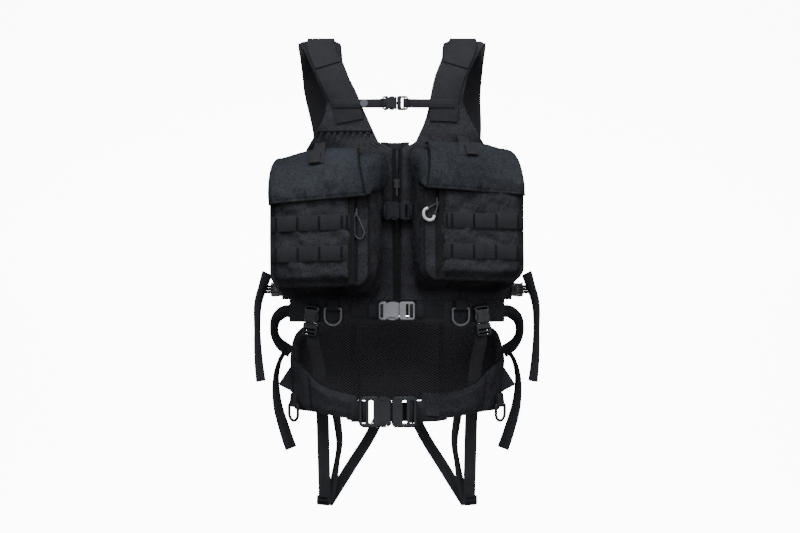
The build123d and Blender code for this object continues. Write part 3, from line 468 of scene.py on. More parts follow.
def pad(name, front, back, nu, nv, materials, body="root", stands_for=()):
    """A closed padded piece between two surfaces of (u, v)."""
    points, uvs = [], []
    for surface in (front, back):
        for j in range(nv + 1):
            for i in range(nu + 1):
                points.append(Vector(surface(i / nu, j / nv)))
    width = (points[nu] - points[0]).length
    rows = [points[j * (nu + 1) + nu // 2] for j in range(nv + 1)]
    runs = [0.0]
    for a, b in zip(rows, rows[1:]):
        runs.append(runs[-1] + (b - a).length)
    for _ in (front, back):
        uvs += [(i / nu * width, runs[j]) for j in range(nv + 1) for i in range(nu + 1)]
    count = (nu + 1) * (nv + 1)
    faces, index = [], []
    for layer in (0, 1):
        for j in range(nv):
            for i in range(nu):
                a = layer * count + j * (nu + 1) + i
                faces.append((a, a + 1, a + nu + 2, a + nu + 1))
                index.append(layer if len(materials) > 1 else 0)
    rim = ([i for i in range(nu)] + [j * (nu + 1) + nu for j in range(nv)]
           + [nv * (nu + 1) + i for i in range(nu, 0, -1)] + [j * (nu + 1) for j in range(nv, 0, -1)])
    for a, b in zip(rim, rim[1:] + rim[:1]):
        faces.append((a, b, b + count, a + count))
        index.append(0)
    piece = piece_from(name, points, faces, materials, body, stands_for, uvs, index)
    return piece


def tray(name, place, nu, nv, nw, thick, material, back=False, body="root",
         stands_for=()):
    """A panel with walls on three sides: place(x, y, w), x across, y to the open end, w down the wall."""
    spread = [sin(pi / 2 * (2 * i / nu - 1)) for i in range(nu + 1)]
    points = [Vector(place(x, j / nv, 0.0)) for j in range(nv + 1) for x in spread]
    faces = [(j * (nu + 1) + i, j * (nu + 1) + i + 1, (j + 1) * (nu + 1) + i + 1, (j + 1) * (nu + 1) + i)
             for j in range(nv) for i in range(nu)]
    rim = ([(0, j) for j in range(nv, 0, -1)] + [(i, 0) for i in range(nu + 1)]
           + [(nu, j) for j in range(1, nv + 1)])
    ring = [j * (nu + 1) + i for i, j in rim]
    for k in range(1, nw + 1):
        start = len(points)
        points += [Vector(place(spread[i], j / nv, k / nw)) for i, j in rim]
        fresh = list(range(start, start + len(rim)))
        faces += [(ring[n], ring[n + 1], fresh[n + 1], fresh[n]) for n in range(len(rim) - 1)]
        ring = fresh
    if back:
        rim_index = {spot: ring[n] for n, spot in enumerate(rim)}
        grid = {}
        for j in range(nv + 1):
            for i in range(nu + 1):
                if (i, j) in rim_index:
                    grid[i, j] = rim_index[i, j]
                else:
                    grid[i, j] = len(points)
                    points.append(Vector(place(spread[i], j / nv, 1.0)))
        faces += [(grid[i, j], grid[i, j + 1], grid[i + 1, j + 1], grid[i + 1, j])
                  for j in range(nv) for i in range(nu)]
    piece = piece_from(name, points, faces, [material], body, stands_for)
    wall = piece.modifiers.new("wall", "SOLIDIFY")
    wall.thickness = thick * MM
    wall.offset = -1.0
    return piece


def sheet(name, place, nu, nv, thick, material, body="root", stands_for=()):
    """One panel of cloth of the given thickness, from a function of (u, v)."""
    points = [Vector(place(i / nu, j / nv)) for j in range(nv + 1) for i in range(nu + 1)]
    faces = [(j * (nu + 1) + i, j * (nu + 1) + i + 1, (j + 1) * (nu + 1) + i + 1, (j + 1) * (nu + 1) + i)
             for j in range(nv) for i in range(nu)]
    shape = bmesh.new()
    corners = [shape.verts.new(p) for p in points]
    for face in faces:
        shape.faces.new([corners[n] for n in face])
    bmesh.ops.recalc_face_normals(shape, faces=shape.faces)
    bmesh.ops.solidify(shape, geom=shape.faces[:], thickness=thick)
    shape.verts.index_update()
    points = [v.co.copy() for v in shape.verts]
    faces = [tuple(v.index for v in face.verts) for face in shape.faces]
    shape.free()
    piece = piece_from(name, points, faces, [material], body, stands_for)
    return piece


def tube(name, path, radius, material, body="root", step=4.0, sides=8, closed=False):
    """A thin round cord along a smooth path, such as piping or a pull."""
    line = smooth_line(path, step)
    if closed:
        line = line[:-1]
    points, uvs, run = [], [], 0.0
    count = len(line)
    guide = Vector((0.13, 0.21, 0.97))
    for n, spot in enumerate(line):
        ahead = line[(n + 1) % count] if closed else line[min(n + 1, count - 1)]
        behind = line[n - 1] if closed or n else line[0]
        along = (ahead - behind).normalized()
        side = (guide - along * guide.dot(along))
        side = side.normalized() if side.length > 0.05 else along.orthogonal().normalized()
        guide = side
        up = along.cross(side)
        run += (spot - line[n - 1]).length if n else 0.0
        for k in range(sides):
            angle = 2 * pi * k / sides
            points.append(spot + side * cos(angle) * radius + up * sin(angle) * radius)
            uvs.append((k * radius, run))
    last = count if closed else count - 1
    faces = [(a * sides + b, a * sides + (b + 1) % sides, (a + 1) % count * sides + (b + 1) % sides,
              (a + 1) % count * sides + b) for a in range(last) for b in range(sides)]
    if not closed:
        faces.append(tuple(range(sides)))
        faces.append(tuple((count - 1) * sides + b for b in reversed(range(sides))))
    return piece_from(name, points, faces, [material], body, (), uvs)


def ease(t):
    """Smooth step from 0 to 1."""
    t = min(1.0, max(0.0, t))
    return t * t * (3 - 2 * t)


def wrinkle(point, size, seed=0.0):
    """Smooth noise from about -1 to 1, with folds of the given size in millimetres."""
    return noise.fractal(Vector(point) / size + Vector((seed, seed * 1.7, seed * 0.3)), 0.8, 2.0, 3)


def mirror_point(point, side):
    """The point on the wearer's left (side 1) or right (side -1)."""
    return (point[0] * side, point[1], point[2])


def stations(table, z):
    """Value read from (height, value) pairs, top first."""
    if z >= table[0][0]:
        return table[0][1]
    for (z1, a), (z0, b) in zip(table, table[1:]):
        if z >= z0:
            return b + (a - b) * (z - z0) / (z1 - z0)
    return table[-1][1]


print("helpers ready")

# %% [markdown]
# ## Stitching
# Thread is the detail that makes cloth read as sewn. One small capsule is repeated along each seam by a
# Geometry Nodes tree with two inputs, the pitch and the stitch length. The result is turned into a plain
# mesh.

# %% Stitch tree
STITCH_PITCH = 3.4
STITCH_LENGTH = 2.3
STITCH_RADIUS = 0.38


def stitch_tree():
    """Capsules laid end to end along a curve."""
    tree = bpy.data.node_groups.new("sewn_seam", "GeometryNodeTree")
    tree.interface.new_socket("Geometry", in_out="INPUT", socket_type="NodeSocketGeometry")
    tree.interface.new_socket("Pitch", in_out="INPUT", socket_type="NodeSocketFloat")
    tree.interface.new_socket("Length", in_out="INPUT", socket_type="NodeSocketFloat")
    tree.interface.new_socket("Radius", in_out="INPUT", socket_type="NodeSocketFloat")
    tree.interface.new_socket("Thread", in_out="INPUT", socket_type="NodeSocketMaterial")
    tree.interface.new_socket("Geometry", in_out="OUTPUT", socket_type="NodeSocketGeometry")
    link = tree.links.new
    enter, leave = tree.nodes.new("NodeGroupInput"), tree.nodes.new("NodeGroupOutput")
    spaced = tree.nodes.new("GeometryNodeResampleCurve")
    spaced.mode = "LENGTH"
    link(enter.outputs["Geometry"], spaced.inputs["Curve"])
    link(enter.outputs["Pitch"], spaced.inputs["Length"])
    capsule = tree.nodes.new("GeometryNodeMeshCylinder")
    capsule.inputs["Vertices"].default_value = 5
    link(enter.outputs["Radius"], capsule.inputs["Radius"])
    link(enter.outputs["Length"], capsule.inputs["Depth"])
    tangent = tree.nodes.new("GeometryNodeInputTangent")
    aim = tree.nodes.new("FunctionNodeAlignRotationToVector")
    aim.axis = "Z"
    link(tangent.outputs[0], aim.inputs["Vector"])
    copies = tree.nodes.new("GeometryNodeInstanceOnPoints")
    link(spaced.outputs["Curve"], copies.inputs["Points"])
    link(capsule.outputs["Mesh"], copies.inputs["Instance"])
    link(aim.outputs["Rotation"], copies.inputs["Rotation"])
    real = tree.nodes.new("GeometryNodeRealizeInstances")
    link(copies.outputs["Instances"], real.inputs["Geometry"])
    paint = tree.nodes.new("GeometryNodeSetMaterial")
    link(real.outputs["Geometry"], paint.inputs["Geometry"])
    link(enter.outputs["Thread"], paint.inputs["Material"])
    link(paint.outputs["Geometry"], leave.inputs["Geometry"])
    return tree


SEAM_TREE = stitch_tree()


def stitches(name, lines, body="root", pitch=STITCH_PITCH, length=STITCH_LENGTH, radius=STITCH_RADIUS,
             material=None):
    """Sewn thread along several lines of millimetre points, as one mesh."""
    curve = bpy.data.curves.new(name + "_lines", "CURVE")
    curve.dimensions = "3D"
    for line in lines:
        spline = curve.splines.new("POLY")
        spline.points.add(len(line) - 1)
        for target, point in zip(spline.points, line):
            target.co = (*(Vector(point) * MM), 1)
    source = bpy.data.objects.new(name + "_lines", curve)
    bpy.context.scene.collection.objects.link(source)
    modifier = source.modifiers.new("seam", "NODES")
    modifier.node_group = SEAM_TREE
    keys = {s.name: s.identifier for s in SEAM_TREE.interface.items_tree if s.in_out == "INPUT"}
    modifier[keys["Pitch"]] = pitch * MM
    modifier[keys["Length"]] = length * MM
    modifier[keys["Radius"]] = radius * MM
    modifier[keys["Thread"]] = material or THREAD
    graph = bpy.context.evaluated_depsgraph_get()
    graph.update()
    mesh = bpy.data.meshes.new_from_object(source.evaluated_get(graph))
    mesh.name = name
    bpy.data.objects.remove(source)
    piece = bpy.data.objects.new(name, mesh)
    bpy.context.scene.collection.objects.link(piece)
    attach(piece, body)
    return piece


print("stitch tree ready")

# %% [markdown]
# ## Chest panels and yokes
# The two front panels follow one gentle curve in plan. Near the top they swing forward to meet the shoulder
# pads, so the front surface eases from the plan curve to the pads' face.

# %% Plan curve of the chest
PANEL_IN, PANEL_OUT, PANEL_R = (8.0, -118.0), (205.0, -64.0), 450.0
PAD_FACE_Y = -112.0
YOKE_Z, NECK_Z, HEM_Z = -148.0, -186.0, -444.0
chord = hypot(PANEL_OUT[0] - PANEL_IN[0], PANEL_OUT[1] - PANEL_IN[1])
chord_x, chord_y = (PANEL_OUT[0] - PANEL_IN[0]) / chord, (PANEL_OUT[1] - PANEL_IN[1]) / chord
rise = sqrt(PANEL_R ** 2 - chord ** 2 / 4)
CURVE_X = (PANEL_IN[0] + PANEL_OUT[0]) / 2 - chord_y * rise
CURVE_Y = (PANEL_IN[1] + PANEL_OUT[1]) / 2 + chord_x * rise


def on_curve(x, out=0.0):
    """Plan point of the chest curve at x, moved outwards, on the wearer's left."""
    radius = PANEL_R + out
    turn = asin((x - CURVE_X) / radius)
    return x, CURVE_Y - radius * cos(turn)


INNER_EDGE = [(YOKE_Z, 44), (-176, 31), (NECK_Z, 9), (HEM_Z, 6.5)]
GATHER_Z = -157.0
OUTER_EDGE = [(YOKE_Z, 131), (-168, 143), (-186, 155), (-205, 161), (-300, 193), (HEM_Z, 199)]


def chest_surface(side, out, seed):
    """Front (out > 0) or back surface of one chest panel."""
    def point(u, v):
        z = HEM_Z + (YOKE_Z - HEM_Z) * v
        low, high = stations(INNER_EDGE, z), stations(OUTER_EDGE, z)
        x = low + (high - low) * u
        rim = min(u, 1 - u) * (high - low)
        soft = 1 - 0.75 * (1 - ease(rim / 9)) ** 2
        y = on_curve(x, out * soft)[1]
        forward = PAD_FACE_Y + (4 - out) * 1.4
        blend = ease((z + 205) / (YOKE_Z + 205)) * (1 if x > 0 else 0)
        y = y + (forward - y) * blend
        y -= 1.8 * wrinkle((x, side * 3, z), 42, seed) * soft * (1 if out > 0 else 0)
        if side < 0 and out > 0 and z < GATHER_Z:
            fade = exp((z - GATHER_Z) / 20) * min(1.0, (GATHER_Z - z) / 4)
            y -= 4.4 * fade * sin((x + 0.45 * (z - GATHER_Z)) * 0.56 + 1.6 * wrinkle((x, 0, z), 30, 4)) * soft
        return mirror_point((x, y, z), side)
    return point


for side, tag in ((1, "left"), (-1, "right")):
    pad(f"chest_cloth_{tag}", chest_surface(side, 4.0, side * 2.0), chest_surface(side, -4.0, 0.0),
        46, 70, [CLOTH, LINING], stands_for=[f"chest_panel_{tag}"])
gathered = chest_surface(-1, 4.0, -2.0)
gather_v = (GATHER_Z - HEM_Z) / (YOKE_Z - HEM_Z)
tube("gathered_edge", [Vector(gathered(n / 14, gather_v)) + Vector((0, -0.6, 0)) for n in range(15)], 1.5,
     BINDING)
print("chest panels made")

# %% [markdown]
# ## Back panel and haul loop
# The back panel is a foam board in cloth, with spacer mesh on the side that meets the wearer.

# %% Back panel
back_low, back_high = (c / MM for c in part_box("back_panel"))
BACK_HALF, BACK_MID_Y, BACK_EDGE_Y = 150.0, 112.0, 98.0
BACK_BOTTOM, BACK_TOP = back_low.z, back_high.z


def back_surface(out, crown):
    """Inner (out < 0) or outer surface of the back panel."""
    def point(u, v):
        z = BACK_BOTTOM + (BACK_TOP - BACK_BOTTOM) * v
        half = BACK_HALF - 6 + 5 * ease(v * 3) - 4 * ease((0.1 - v) * 10)
        x = (2 * u - 1) * half
        y = BACK_MID_Y - (BACK_MID_Y - BACK_EDGE_Y) * (x / BACK_HALF) ** 2
        rim = min(min(u, 1 - u) * 2 * half, min(v, 1 - v) * (BACK_TOP - BACK_BOTTOM))
        soft = 0.45 + 0.55 * ease(rim / 12)
        channel = max(0.0, 1 - abs(abs(x) - 52) / 5) if rim > 16 else 0.0
        y += out * soft * (1 - 0.35 * channel) + crown * soft * wrinkle((x, 0, z), 60, 3)
        return x, y, z
    return point


pad("back_cloth", back_surface(6.0, 1.2), back_surface(-6.0, -0.6), 56, 64, [CLOTH, AIR_MESH],
    stands_for=["back_panel"])

loop_low, loop_high = (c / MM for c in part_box("haul_loop"))
loop_mid = (loop_low.x + loop_high.x) / 2
foot_y, grip_y = loop_low.y + 1.1, loop_high.y - 1.1
haul_path = [(loop_low.x + 0.5, foot_y, 0), (loop_mid - 18, foot_y, 0), (loop_mid - 10, grip_y, 0),
             (loop_mid + 10, grip_y, 0), (loop_mid + 18, foot_y, 0), (loop_high.x - 0.5, foot_y, 0)]
haul_z = (loop_low.z + loop_high.z) / 2
strap("haul_loop_web", [(x, y, haul_z) for x, y, _ in haul_path], [(0, 0, 1)] * 6,
      loop_high.z - loop_low.z - 1, 2.2, stands_for=["haul_loop"], step=3)
print("back panel made")

# %% [markdown]
# ## Shoulder pads
# Each pad is a strip that goes from the chest, over the shoulder, to the back. Its path is a half circle with
# straight ends, and its outline changes width along the way. Cloth outside, spacer mesh underneath.

# %% Shoulder path
SHOULDER_R, PAD_T, BACK_END_Z = 100.0, 12.0, -172.0
LEAN, LEAN_TOP = 9.0, -55.0
PAD_CENTRE_FRONT = [(6, 129), (-20, 119.5), (-60, 102.5), (-105, 87.5), (-126, 86.5), (YOKE_Z, 87.5)]
PAD_HALF_FRONT = [(6, 37), (-20, 29.5), (-60, 28), (-105, 28), (-126, 34), (YOKE_Z, 43.5)]
PAD_CENTRE_REAR = [(0, 129), (-60, 126), (BACK_END_Z, 115)]
PAD_HALF_REAR = [(0, 38.5), (-60, 37.5), (BACK_END_Z, 37.5)]
front_run = -SHOULDER_R - YOKE_Z
rear_run = -SHOULDER_R - BACK_END_Z
arc_run = pi * (SHOULDER_R + PAD_T / 2)
TOTAL_RUN = front_run + arc_run + rear_run


def shoulder_spot(run, out):
    """Depth, height and normal of the shoulder path at a run from its front end, out from the underside."""
    radius = SHOULDER_R + out
    if run <= front_run:
        return -radius, YOKE_Z + run, (-1, 0)
    if run >= front_run + arc_run:
        return radius, -SHOULDER_R - (run - front_run - arc_run), (1, 0)
    turn = pi * (run - front_run) / arc_run
    return -radius * cos(turn), -SHOULDER_R + radius * sin(turn), (-cos(turn), sin(turn))


def lean_at(z):
    """Sideways lean of the shoulders at height z."""
    return -LEAN * ease((z - YOKE_Z) / (LEAN_TOP - YOKE_Z))


def pad_width(depth, z, rear_table, front_table):
    """Value from the front or rear table, eased across the top of the shoulder."""
    share = ease((depth + 25) / 50)
    return stations(front_table, z) * (1 - share) + stations(rear_table, z) * share


def shoulder_surface(side, out, cover):
    """Cloth or mesh surface of a shoulder pad."""
    def point(u, v):
        run = TOTAL_RUN * v
        y, z, normal = shoulder_spot(run, PAD_T / 2)
        centre = pad_width(y, z, PAD_CENTRE_REAR, PAD_CENTRE_FRONT)
        half = pad_width(y, z, PAD_HALF_REAR, PAD_HALF_FRONT)
        rim = min(u, 1 - u) * 2 * half
        soft = 0.42 + 0.58 * ease(rim / 9)
        crown = out * soft + cover * wrinkle((u * 2 * half, run, side), 34, side)
        x = side * (centre + (2 * u - 1) * half) + lean_at(z)
        return x, y + normal[0] * crown, z + normal[1] * crown
    return point


for side, tag in ((1, "left"), (-1, "right")):
    pad(f"shoulder_cloth_{tag}", shoulder_surface(side, 6.0, 0.9), shoulder_surface(side, -6.0, 0.5),
        22, 96, [CLOTH, AIR_MESH], stands_for=[f"shoulder_pad_{tag}"])
print("shoulder pads made, run", round(TOTAL_RUN))


# %% Shoulder webbing
def shoulder_line(side, x_table, start, end, out, count=16):
    """Path over the shoulder for a strap, between two runs."""
    line = []
    for n in range(count + 1):
        run = start + (end - start) * n / count
        y, z, _ = shoulder_spot(run, out)
        line.append((side * stations(x_table, z) + lean_at(z), y, z))
    return line


WEB_CENTRE = [(0, 125), (-20, 119), (-60, 101), (-105, 84), (YOKE_Z, 79)]
TOP_RUN = front_run + arc_run / 2
for side, tag in ((1, "left"), (-1, "right")):
    base = shoulder_line(side, WEB_CENTRE, 8, TOP_RUN + 28, PAD_T + 1.8)
    strap(f"shoulder_web_{tag}", base, [(1, 0, 0.0)] * len(base), 48, 2.2,
          stands_for=["shoulder_webbing"] if side == 1 else ())
    cover = shoulder_line(side, WEB_CENTRE, TOP_RUN - 112, TOP_RUN + 10, PAD_T + 4.3)
    strap(f"shoulder_web_cover_{tag}", cover, [(1, 0, 0.0)] * len(cover), 46, 2.2)
print("shoulder webbing made")

# %% [markdown]
# ## Pockets
# A pocket is a front panel with rounded lower corners, a gusset that runs round three sides of it, and a
# back. The tray builder makes it in one piece: the panel first, then the walls, then the back. The cloth
# bellies out between its seams, and the bottom sags towards the back. A full pocket never hangs quite level
# with the other, so each side has its own small drop.

# %% Pocket frame
POCKET_HALF, POCKET_D = 85.0, 66.0
POCKET_BACK_TOP, POCKET_SLOPE = -194.0, 63.0 / 82.0
POCKET_FRONT_BOTTOM, POCKET_SAG = -418.0, 20.0
LOWER_CORNER = 24.0
HANG = {1: 9.0, -1: -1.0}
LEVEL = {1: 0.016, -1: 0.030}
flap_joint = next(j for j in frame["joints"] if j["name"] == "flap_left_lift")
POCKET_TURN = atan2(-flap_joint["axis"][1], -flap_joint["axis"][0])
POCKET_X, POCKET_Y = 110.8, -106.7
print("pocket turned by", round(POCKET_TURN * 180 / pi, 1))


def in_pocket(side, across, out, z):
    """Point from a pocket's own frame: across outwards, out to its front."""
    x = POCKET_X + across * cos(POCKET_TURN) + out * sin(POCKET_TURN)
    y = POCKET_Y + across * sin(POCKET_TURN) - out * cos(POCKET_TURN)
    return mirror_point((x, y, z + HANG[side] - LEVEL[side] * across), side)


def corner_lift(across, half, corner):
    """Height of a rounded lower corner above the straight bottom."""
    over = abs(across) - (half - corner)
    return corner - sqrt(max(0.0, corner ** 2 - over ** 2)) if over > 0 else 0.0


def pocket_place(side):
    """Front panel, gusset and back of one pocket."""
    def place(x, y, w):
        across = x * POCKET_HALF
        out = POCKET_D * (1 - w)
        top = POCKET_BACK_TOP - POCKET_SLOPE * out - 6
        bottom = POCKET_FRONT_BOTTOM - POCKET_SAG * w + corner_lift(across, POCKET_HALF, LOWER_CORNER)
        z = bottom + (top - bottom) * y
        if w in (0.0, 1.0):
            if w == 0:
                out += 2.0 + 2.4 * wrinkle((across, 0, z), 36, side * 5) * (1 - x ** 6)
        else:
            belly = 5.0 * sin(pi * w) ** 0.7 + 3.4 * wrinkle((across * 0.7, out, z * 0.8), 26, side * 7)
            if abs(x) > 0.995:
                across += belly if x > 0 else -belly - 4.5 * sin(pi * w) * sin(pi * y) ** 0.8
            else:
                z -= belly * (1 - y) * 0.7
                across += belly * 0.6 * x ** 5
        return in_pocket(side, across, out, z)
    return place


for side, tag in ((1, "left"), (-1, "right")):
    bag = tray(f"pocket_bag_{tag}", pocket_place(side), 44, 48, 18, 2.0, CLOTH, back=True,
               stands_for=[f"pocket_{tag}"])


# %% Piping round the pocket's front seam
def seam_line(side, half, corner, out, bottom, top):
    """Outline of a panel with rounded lower corners, from top to bottom to top."""
    line = [(-half, top), (-half, (top + bottom) / 2), (-half, bottom + corner)]
    line += [(-half + corner * (1 - cos(a)), bottom + corner * (1 - sin(a))) for a in (pi / 8, pi / 4,
             3 * pi / 8)]
    line += [(-half + corner, bottom), (0, bottom), (half - corner, bottom)]
    line += [(half - corner * (1 - sin(a)), bottom + corner * (1 - cos(a))) for a in (pi / 8, pi / 4,
             3 * pi / 8)]
    line += [(half, bottom + corner), (half, (top + bottom) / 2), (half, top)]
    wave = [0.9 * wrinkle((x, 9, z), 30, side) for x, z in line]
    return [in_pocket(side, x + w, out + w, z + w) for (x, z), w in zip(line, wave)]


for side, tag in ((1, "left"), (-1, "right")):
    tube(f"pocket_piping_{tag}", seam_line(side, POCKET_HALF + 0.8, LOWER_CORNER, POCKET_D + 1.6,
                                          POCKET_FRONT_BOTTOM - 0.8, -262), 1.5, BINDING)

# %% Hook-and-loop patch under each pocket
PATCH = (-38.0, 54.0)


def patch_place(side):
    """A fuzzy patch on the sloping bottom of the pocket."""
    def point(u, v):
        across = PATCH[0] + (PATCH[1] - PATCH[0]) * u
        w = 0.14 + 0.5 * v
        spot = Vector(pocket_place(side)(across / POCKET_HALF, 0.0, w))
        return spot + Vector((0, -0.6, -1.6))
    return point


for side, tag in ((1, "left"), (-1, "right")):
    sheet(f"pocket_patch_{tag}", patch_place(side), 40, 8, 1.6, FUZZ)
print("pockets made")

# %% [markdown]
# ## Front pouches and load rows
# A flat pouch covers most of each pocket's front. Its outer and lower edges share the pocket's own seam, and
# its inner edge is bound with webbing beside a recessed zip. Two rows of wide webbing are sewn across it at
# even distances, so that modules can be laced on.

# %% Pouches
POUCH_IN, POUCH_OUT, POUCH_D = -60.0, 84.5, 12.0
POUCH_TOP, POUCH_BOTTOM = -258.0, -417.5


def pouch_depth(across, z, low, side):
    """How far the pouch's cloth stands out from the pocket's front."""
    outer = ease((POUCH_OUT - across) / 15)
    inner = 0.66 + 0.34 * ease((across - POUCH_IN) / 18)
    lower = ease((z - low) / 17)
    swell = POUCH_D * outer * inner * lower
    fold = wrinkle((across * 0.7 + z * 0.3, 3, z * 0.8), 26, side * 3) + 0.5 * wrinkle((across, 8, z), 13,
                                                                                       side)
    return 1.4 + swell + 3.2 * fold * outer * lower


def pouch_surface(side, front):
    """Front or back of the flat pouch."""
    middle, half = (POUCH_IN + POUCH_OUT) / 2, (POUCH_OUT - POUCH_IN) / 2

    def point(u, v):
        across = middle + (2 * u - 1) * half
        low = POUCH_BOTTOM + (corner_lift(across, POCKET_HALF, LOWER_CORNER) if across > 0 else 0.0)
        z = low + (POUCH_TOP - low) * v
        depth = POCKET_D + 0.5 + (pouch_depth(across, z, low, side) if front else 0.0)
        return in_pocket(side, across, depth, z)
    return point


for side, tag in ((1, "left"), (-1, "right")):
    pad(f"pouch_cloth_{tag}", pouch_surface(side, True), pouch_surface(side, False),
        56, 60, [CLOTH], stands_for=[f"pouch_{tag}"])
    placket = [in_pocket(side, POUCH_IN + 1.5 + 0.6 * wrinkle((0, 0, z), 40, side), POCKET_D + 11.0, z)
               for z in (-258, -300, -340, -380, -416)]
    strap(f"pouch_placket_{tag}", placket, [(cos(POCKET_TURN), side * sin(POCKET_TURN), 0)] * 5, 10.5, 2.0,
          BINDING)
    cord_line = [in_pocket(side, -66, POCKET_D + 2.6, z) for z in (-262, -300, -340, -380, -412)]
    tube(f"pouch_zip_coil_{tag}", cord_line, 1.5, TEETH)

# %% Load webbing rows
ROW_H, ROW_PITCH, ROW_TOP_Z, TACK_PITCH = 25.4, 50.8, -314.0, 38.1
ROW_DROP = {1: 6.0, -1: 0.0}
for side, tag in ((1, "left"), (-1, "right")):
    tack_lines = []
    for row in range(2):
        z = ROW_TOP_Z - row * ROW_PITCH - ROW_DROP[side]
        tacks = [POUCH_IN + 17 + TACK_PITCH * n for n in range(4)]
        spots = [POUCH_IN + 4]
        for a in tacks:
            spots += [a - 14, a, a + 14]
        spots = [x for x in spots if x < POUCH_OUT - 8] + [POUCH_OUT - 6, POUCH_OUT - 0.5]
        path = [in_pocket(side, x, POCKET_D + 2.6 + max(1.2, pouch_depth(x, z, -417, side))
                          - (0.7 if x in tacks else 0.0), z) for x in spots]
        strap(f"load_row_{tag}_{row + 1}", path, [(0, 0, 1)] * len(path), ROW_H, 1.5,
              stands_for=["load_webbing"] if side == 1 and row == 0 else (), step=4)
        for x in tacks + [POUCH_IN + 8]:
            for shift in (-1.1, 1.1):
                out = POCKET_D + 2.9 + pouch_depth(x, z, -417, side)
                tack_lines.append([in_pocket(side, x + shift, out,
                                  z + end * (ROW_H / 2 - 2)) for end in (-1, 1)])
    stitches(f"load_row_tacks_{tag}", tack_lines, pitch=1.5, length=1.2, radius=0.62)
print("load rows made")

# %% [markdown]
# ## Storm flaps
# The flap is a soft hood: its roof rises over a full pocket, then turns down into the front hem. A seam runs
# from the back to the hem near the inner side, and the rounded ear beyond it wraps the pocket's inner wall.
# Both pieces ride on the flap's own body because it lifts. The hem is gathered, so its edge ripples a little.

# %% Flap shape
FLAP_HALF = 88.5
FLAP_LINE = [(1.0, -187.0), (14, -188.0), (32, -193.5), (50, -205), (65, -222), (76, -244), (82, -262),
             (83.5, -277)]
flap_curve = smooth_line([(out, z, 0) for out, z in FLAP_LINE], 3.0)
SEAM_BACK = {1: -66.0, -1: -50.0}
MAIN_SHARE = 0.86
HEM_FALL = 0.042
FLARE = {1: -9.0, -1: 4.0}
HEM_RAISE = {1: 6.0, -1: 1.5}
TAB_ACROSS = {1: 5.0, -1: 17.0}


def flap_profile(v):
    """Depth and height of the flap's middle line, from its back edge (0) to its hem (1)."""
    share = v * (len(flap_curve) - 1)
    low = min(int(share), len(flap_curve) - 2)
    spot = flap_curve[low].lerp(flap_curve[low + 1], share - low)
    return spot.x, spot.y


def seam_across(side, v):
    """Where the seam between flap and ear runs."""
    return SEAM_BACK[side] + (-FLAP_HALF + 1 - SEAM_BACK[side]) * v ** 1.15


def flap_main(side):
    """Roof, front and outer skirt of the flap."""
    def point(u, v):
        out, z = flap_profile(v)
        inner, outer = seam_across(side, v), FLAP_HALF + FLARE[side] * (1 - v) ** 0.8
        share = min(u / MAIN_SHARE, 1.0)
        across = inner + (outer - inner) * share
        z += (HEM_RAISE[side] - HEM_FALL * across) * v
        shoulder = min(1.0, (across - 20) / 66) if across > 20 else 0.0
        z -= shoulder ** 1.4 * 10.5 * (1 - v)
        z += 2.0 * sin(pi * share) * (1 - v)
        fold = wrinkle((across * 0.8, out * 1.3, z * 0.6), 34, side * 4)
        lift = (1.0 - (2 * share - 1) ** 8) * ease(v * 5)
        sweep = wrinkle((across * 0.45 + out * 0.5, 0, across * 0.3 - out * 0.8), 24, side * 6)
        out += (4.2 * fold + 3.0 * sweep) * lift * v
        z += (4.0 * fold + 3.0 * sweep) * lift * (1 - v)
        near_hem = exp(-((v - 0.93) / 0.05) ** 2)
        out -= 5.0 * near_hem * max(0.0,
                                    wrinkle((across * 1.9, 0, 5), 16, side * 9)) * (1 if v < 0.985 else 0)
        out -= 14 * ease((across - 72) / 20) ** 2 * v ** 3
        if u > MAIN_SHARE:
            turn = (u - MAIN_SHARE) / (1 - MAIN_SHARE)
            across += 1.5 * sin(pi * turn) - 2.5 * turn
            z -= 19 * turn * (1 - v)
            out -= 24 * turn * v
        return in_pocket(side, across, max(out, 0.6), z)
    return point


EAR_EDGE = [(-85, 7, -198), (-94, 4, -203), (-99, 5, -219), (-99.5, 9, -240), (-97, 22, -258),
            (-93, 45, -267),
            (-91, 62, -270)]


def flap_ear(side):
    """Rounded side of the flap, from the seam round the pocket's inner wall."""
    reach = 1.0 if side < 0 else 0.72

    def point(s, t):
        out, z = flap_profile(0.30 + 0.69 * t)
        seam = Vector((seam_across(side, 0.30 + 0.69 * t) - 0.5, out - 0.6 - 5 * (1 - t),
                      z - 7.0 * (1 - t) ** 2))
        seam.z += (HEM_RAISE[side] - HEM_FALL * seam.x) * (0.30 + 0.69 * t)
        share = t * (len(EAR_EDGE) - 1)
        low = min(int(share), len(EAR_EDGE) - 2)
        edge = Vector(EAR_EDGE[low]).lerp(Vector(EAR_EDGE[low + 1]), share - low)
        edge.x = -FLAP_HALF + 2 + (edge.x + FLAP_HALF - 2) * reach
        edge.z += (HEM_RAISE[side] + HEM_FALL * 80) * t
        spot = seam.lerp(edge, s)
        bow = sin(pi * s) * (0.25 + 0.75 * sin(pi * t))
        spot += Vector((-7.0 * bow, 5.0 * bow, 1.0 * bow))
        spot.x -= 1.5 * wrinkle((0, s * 40, t * 60), 26, side * 2) * sin(pi * s)
        return in_pocket(side, *spot)
    return point


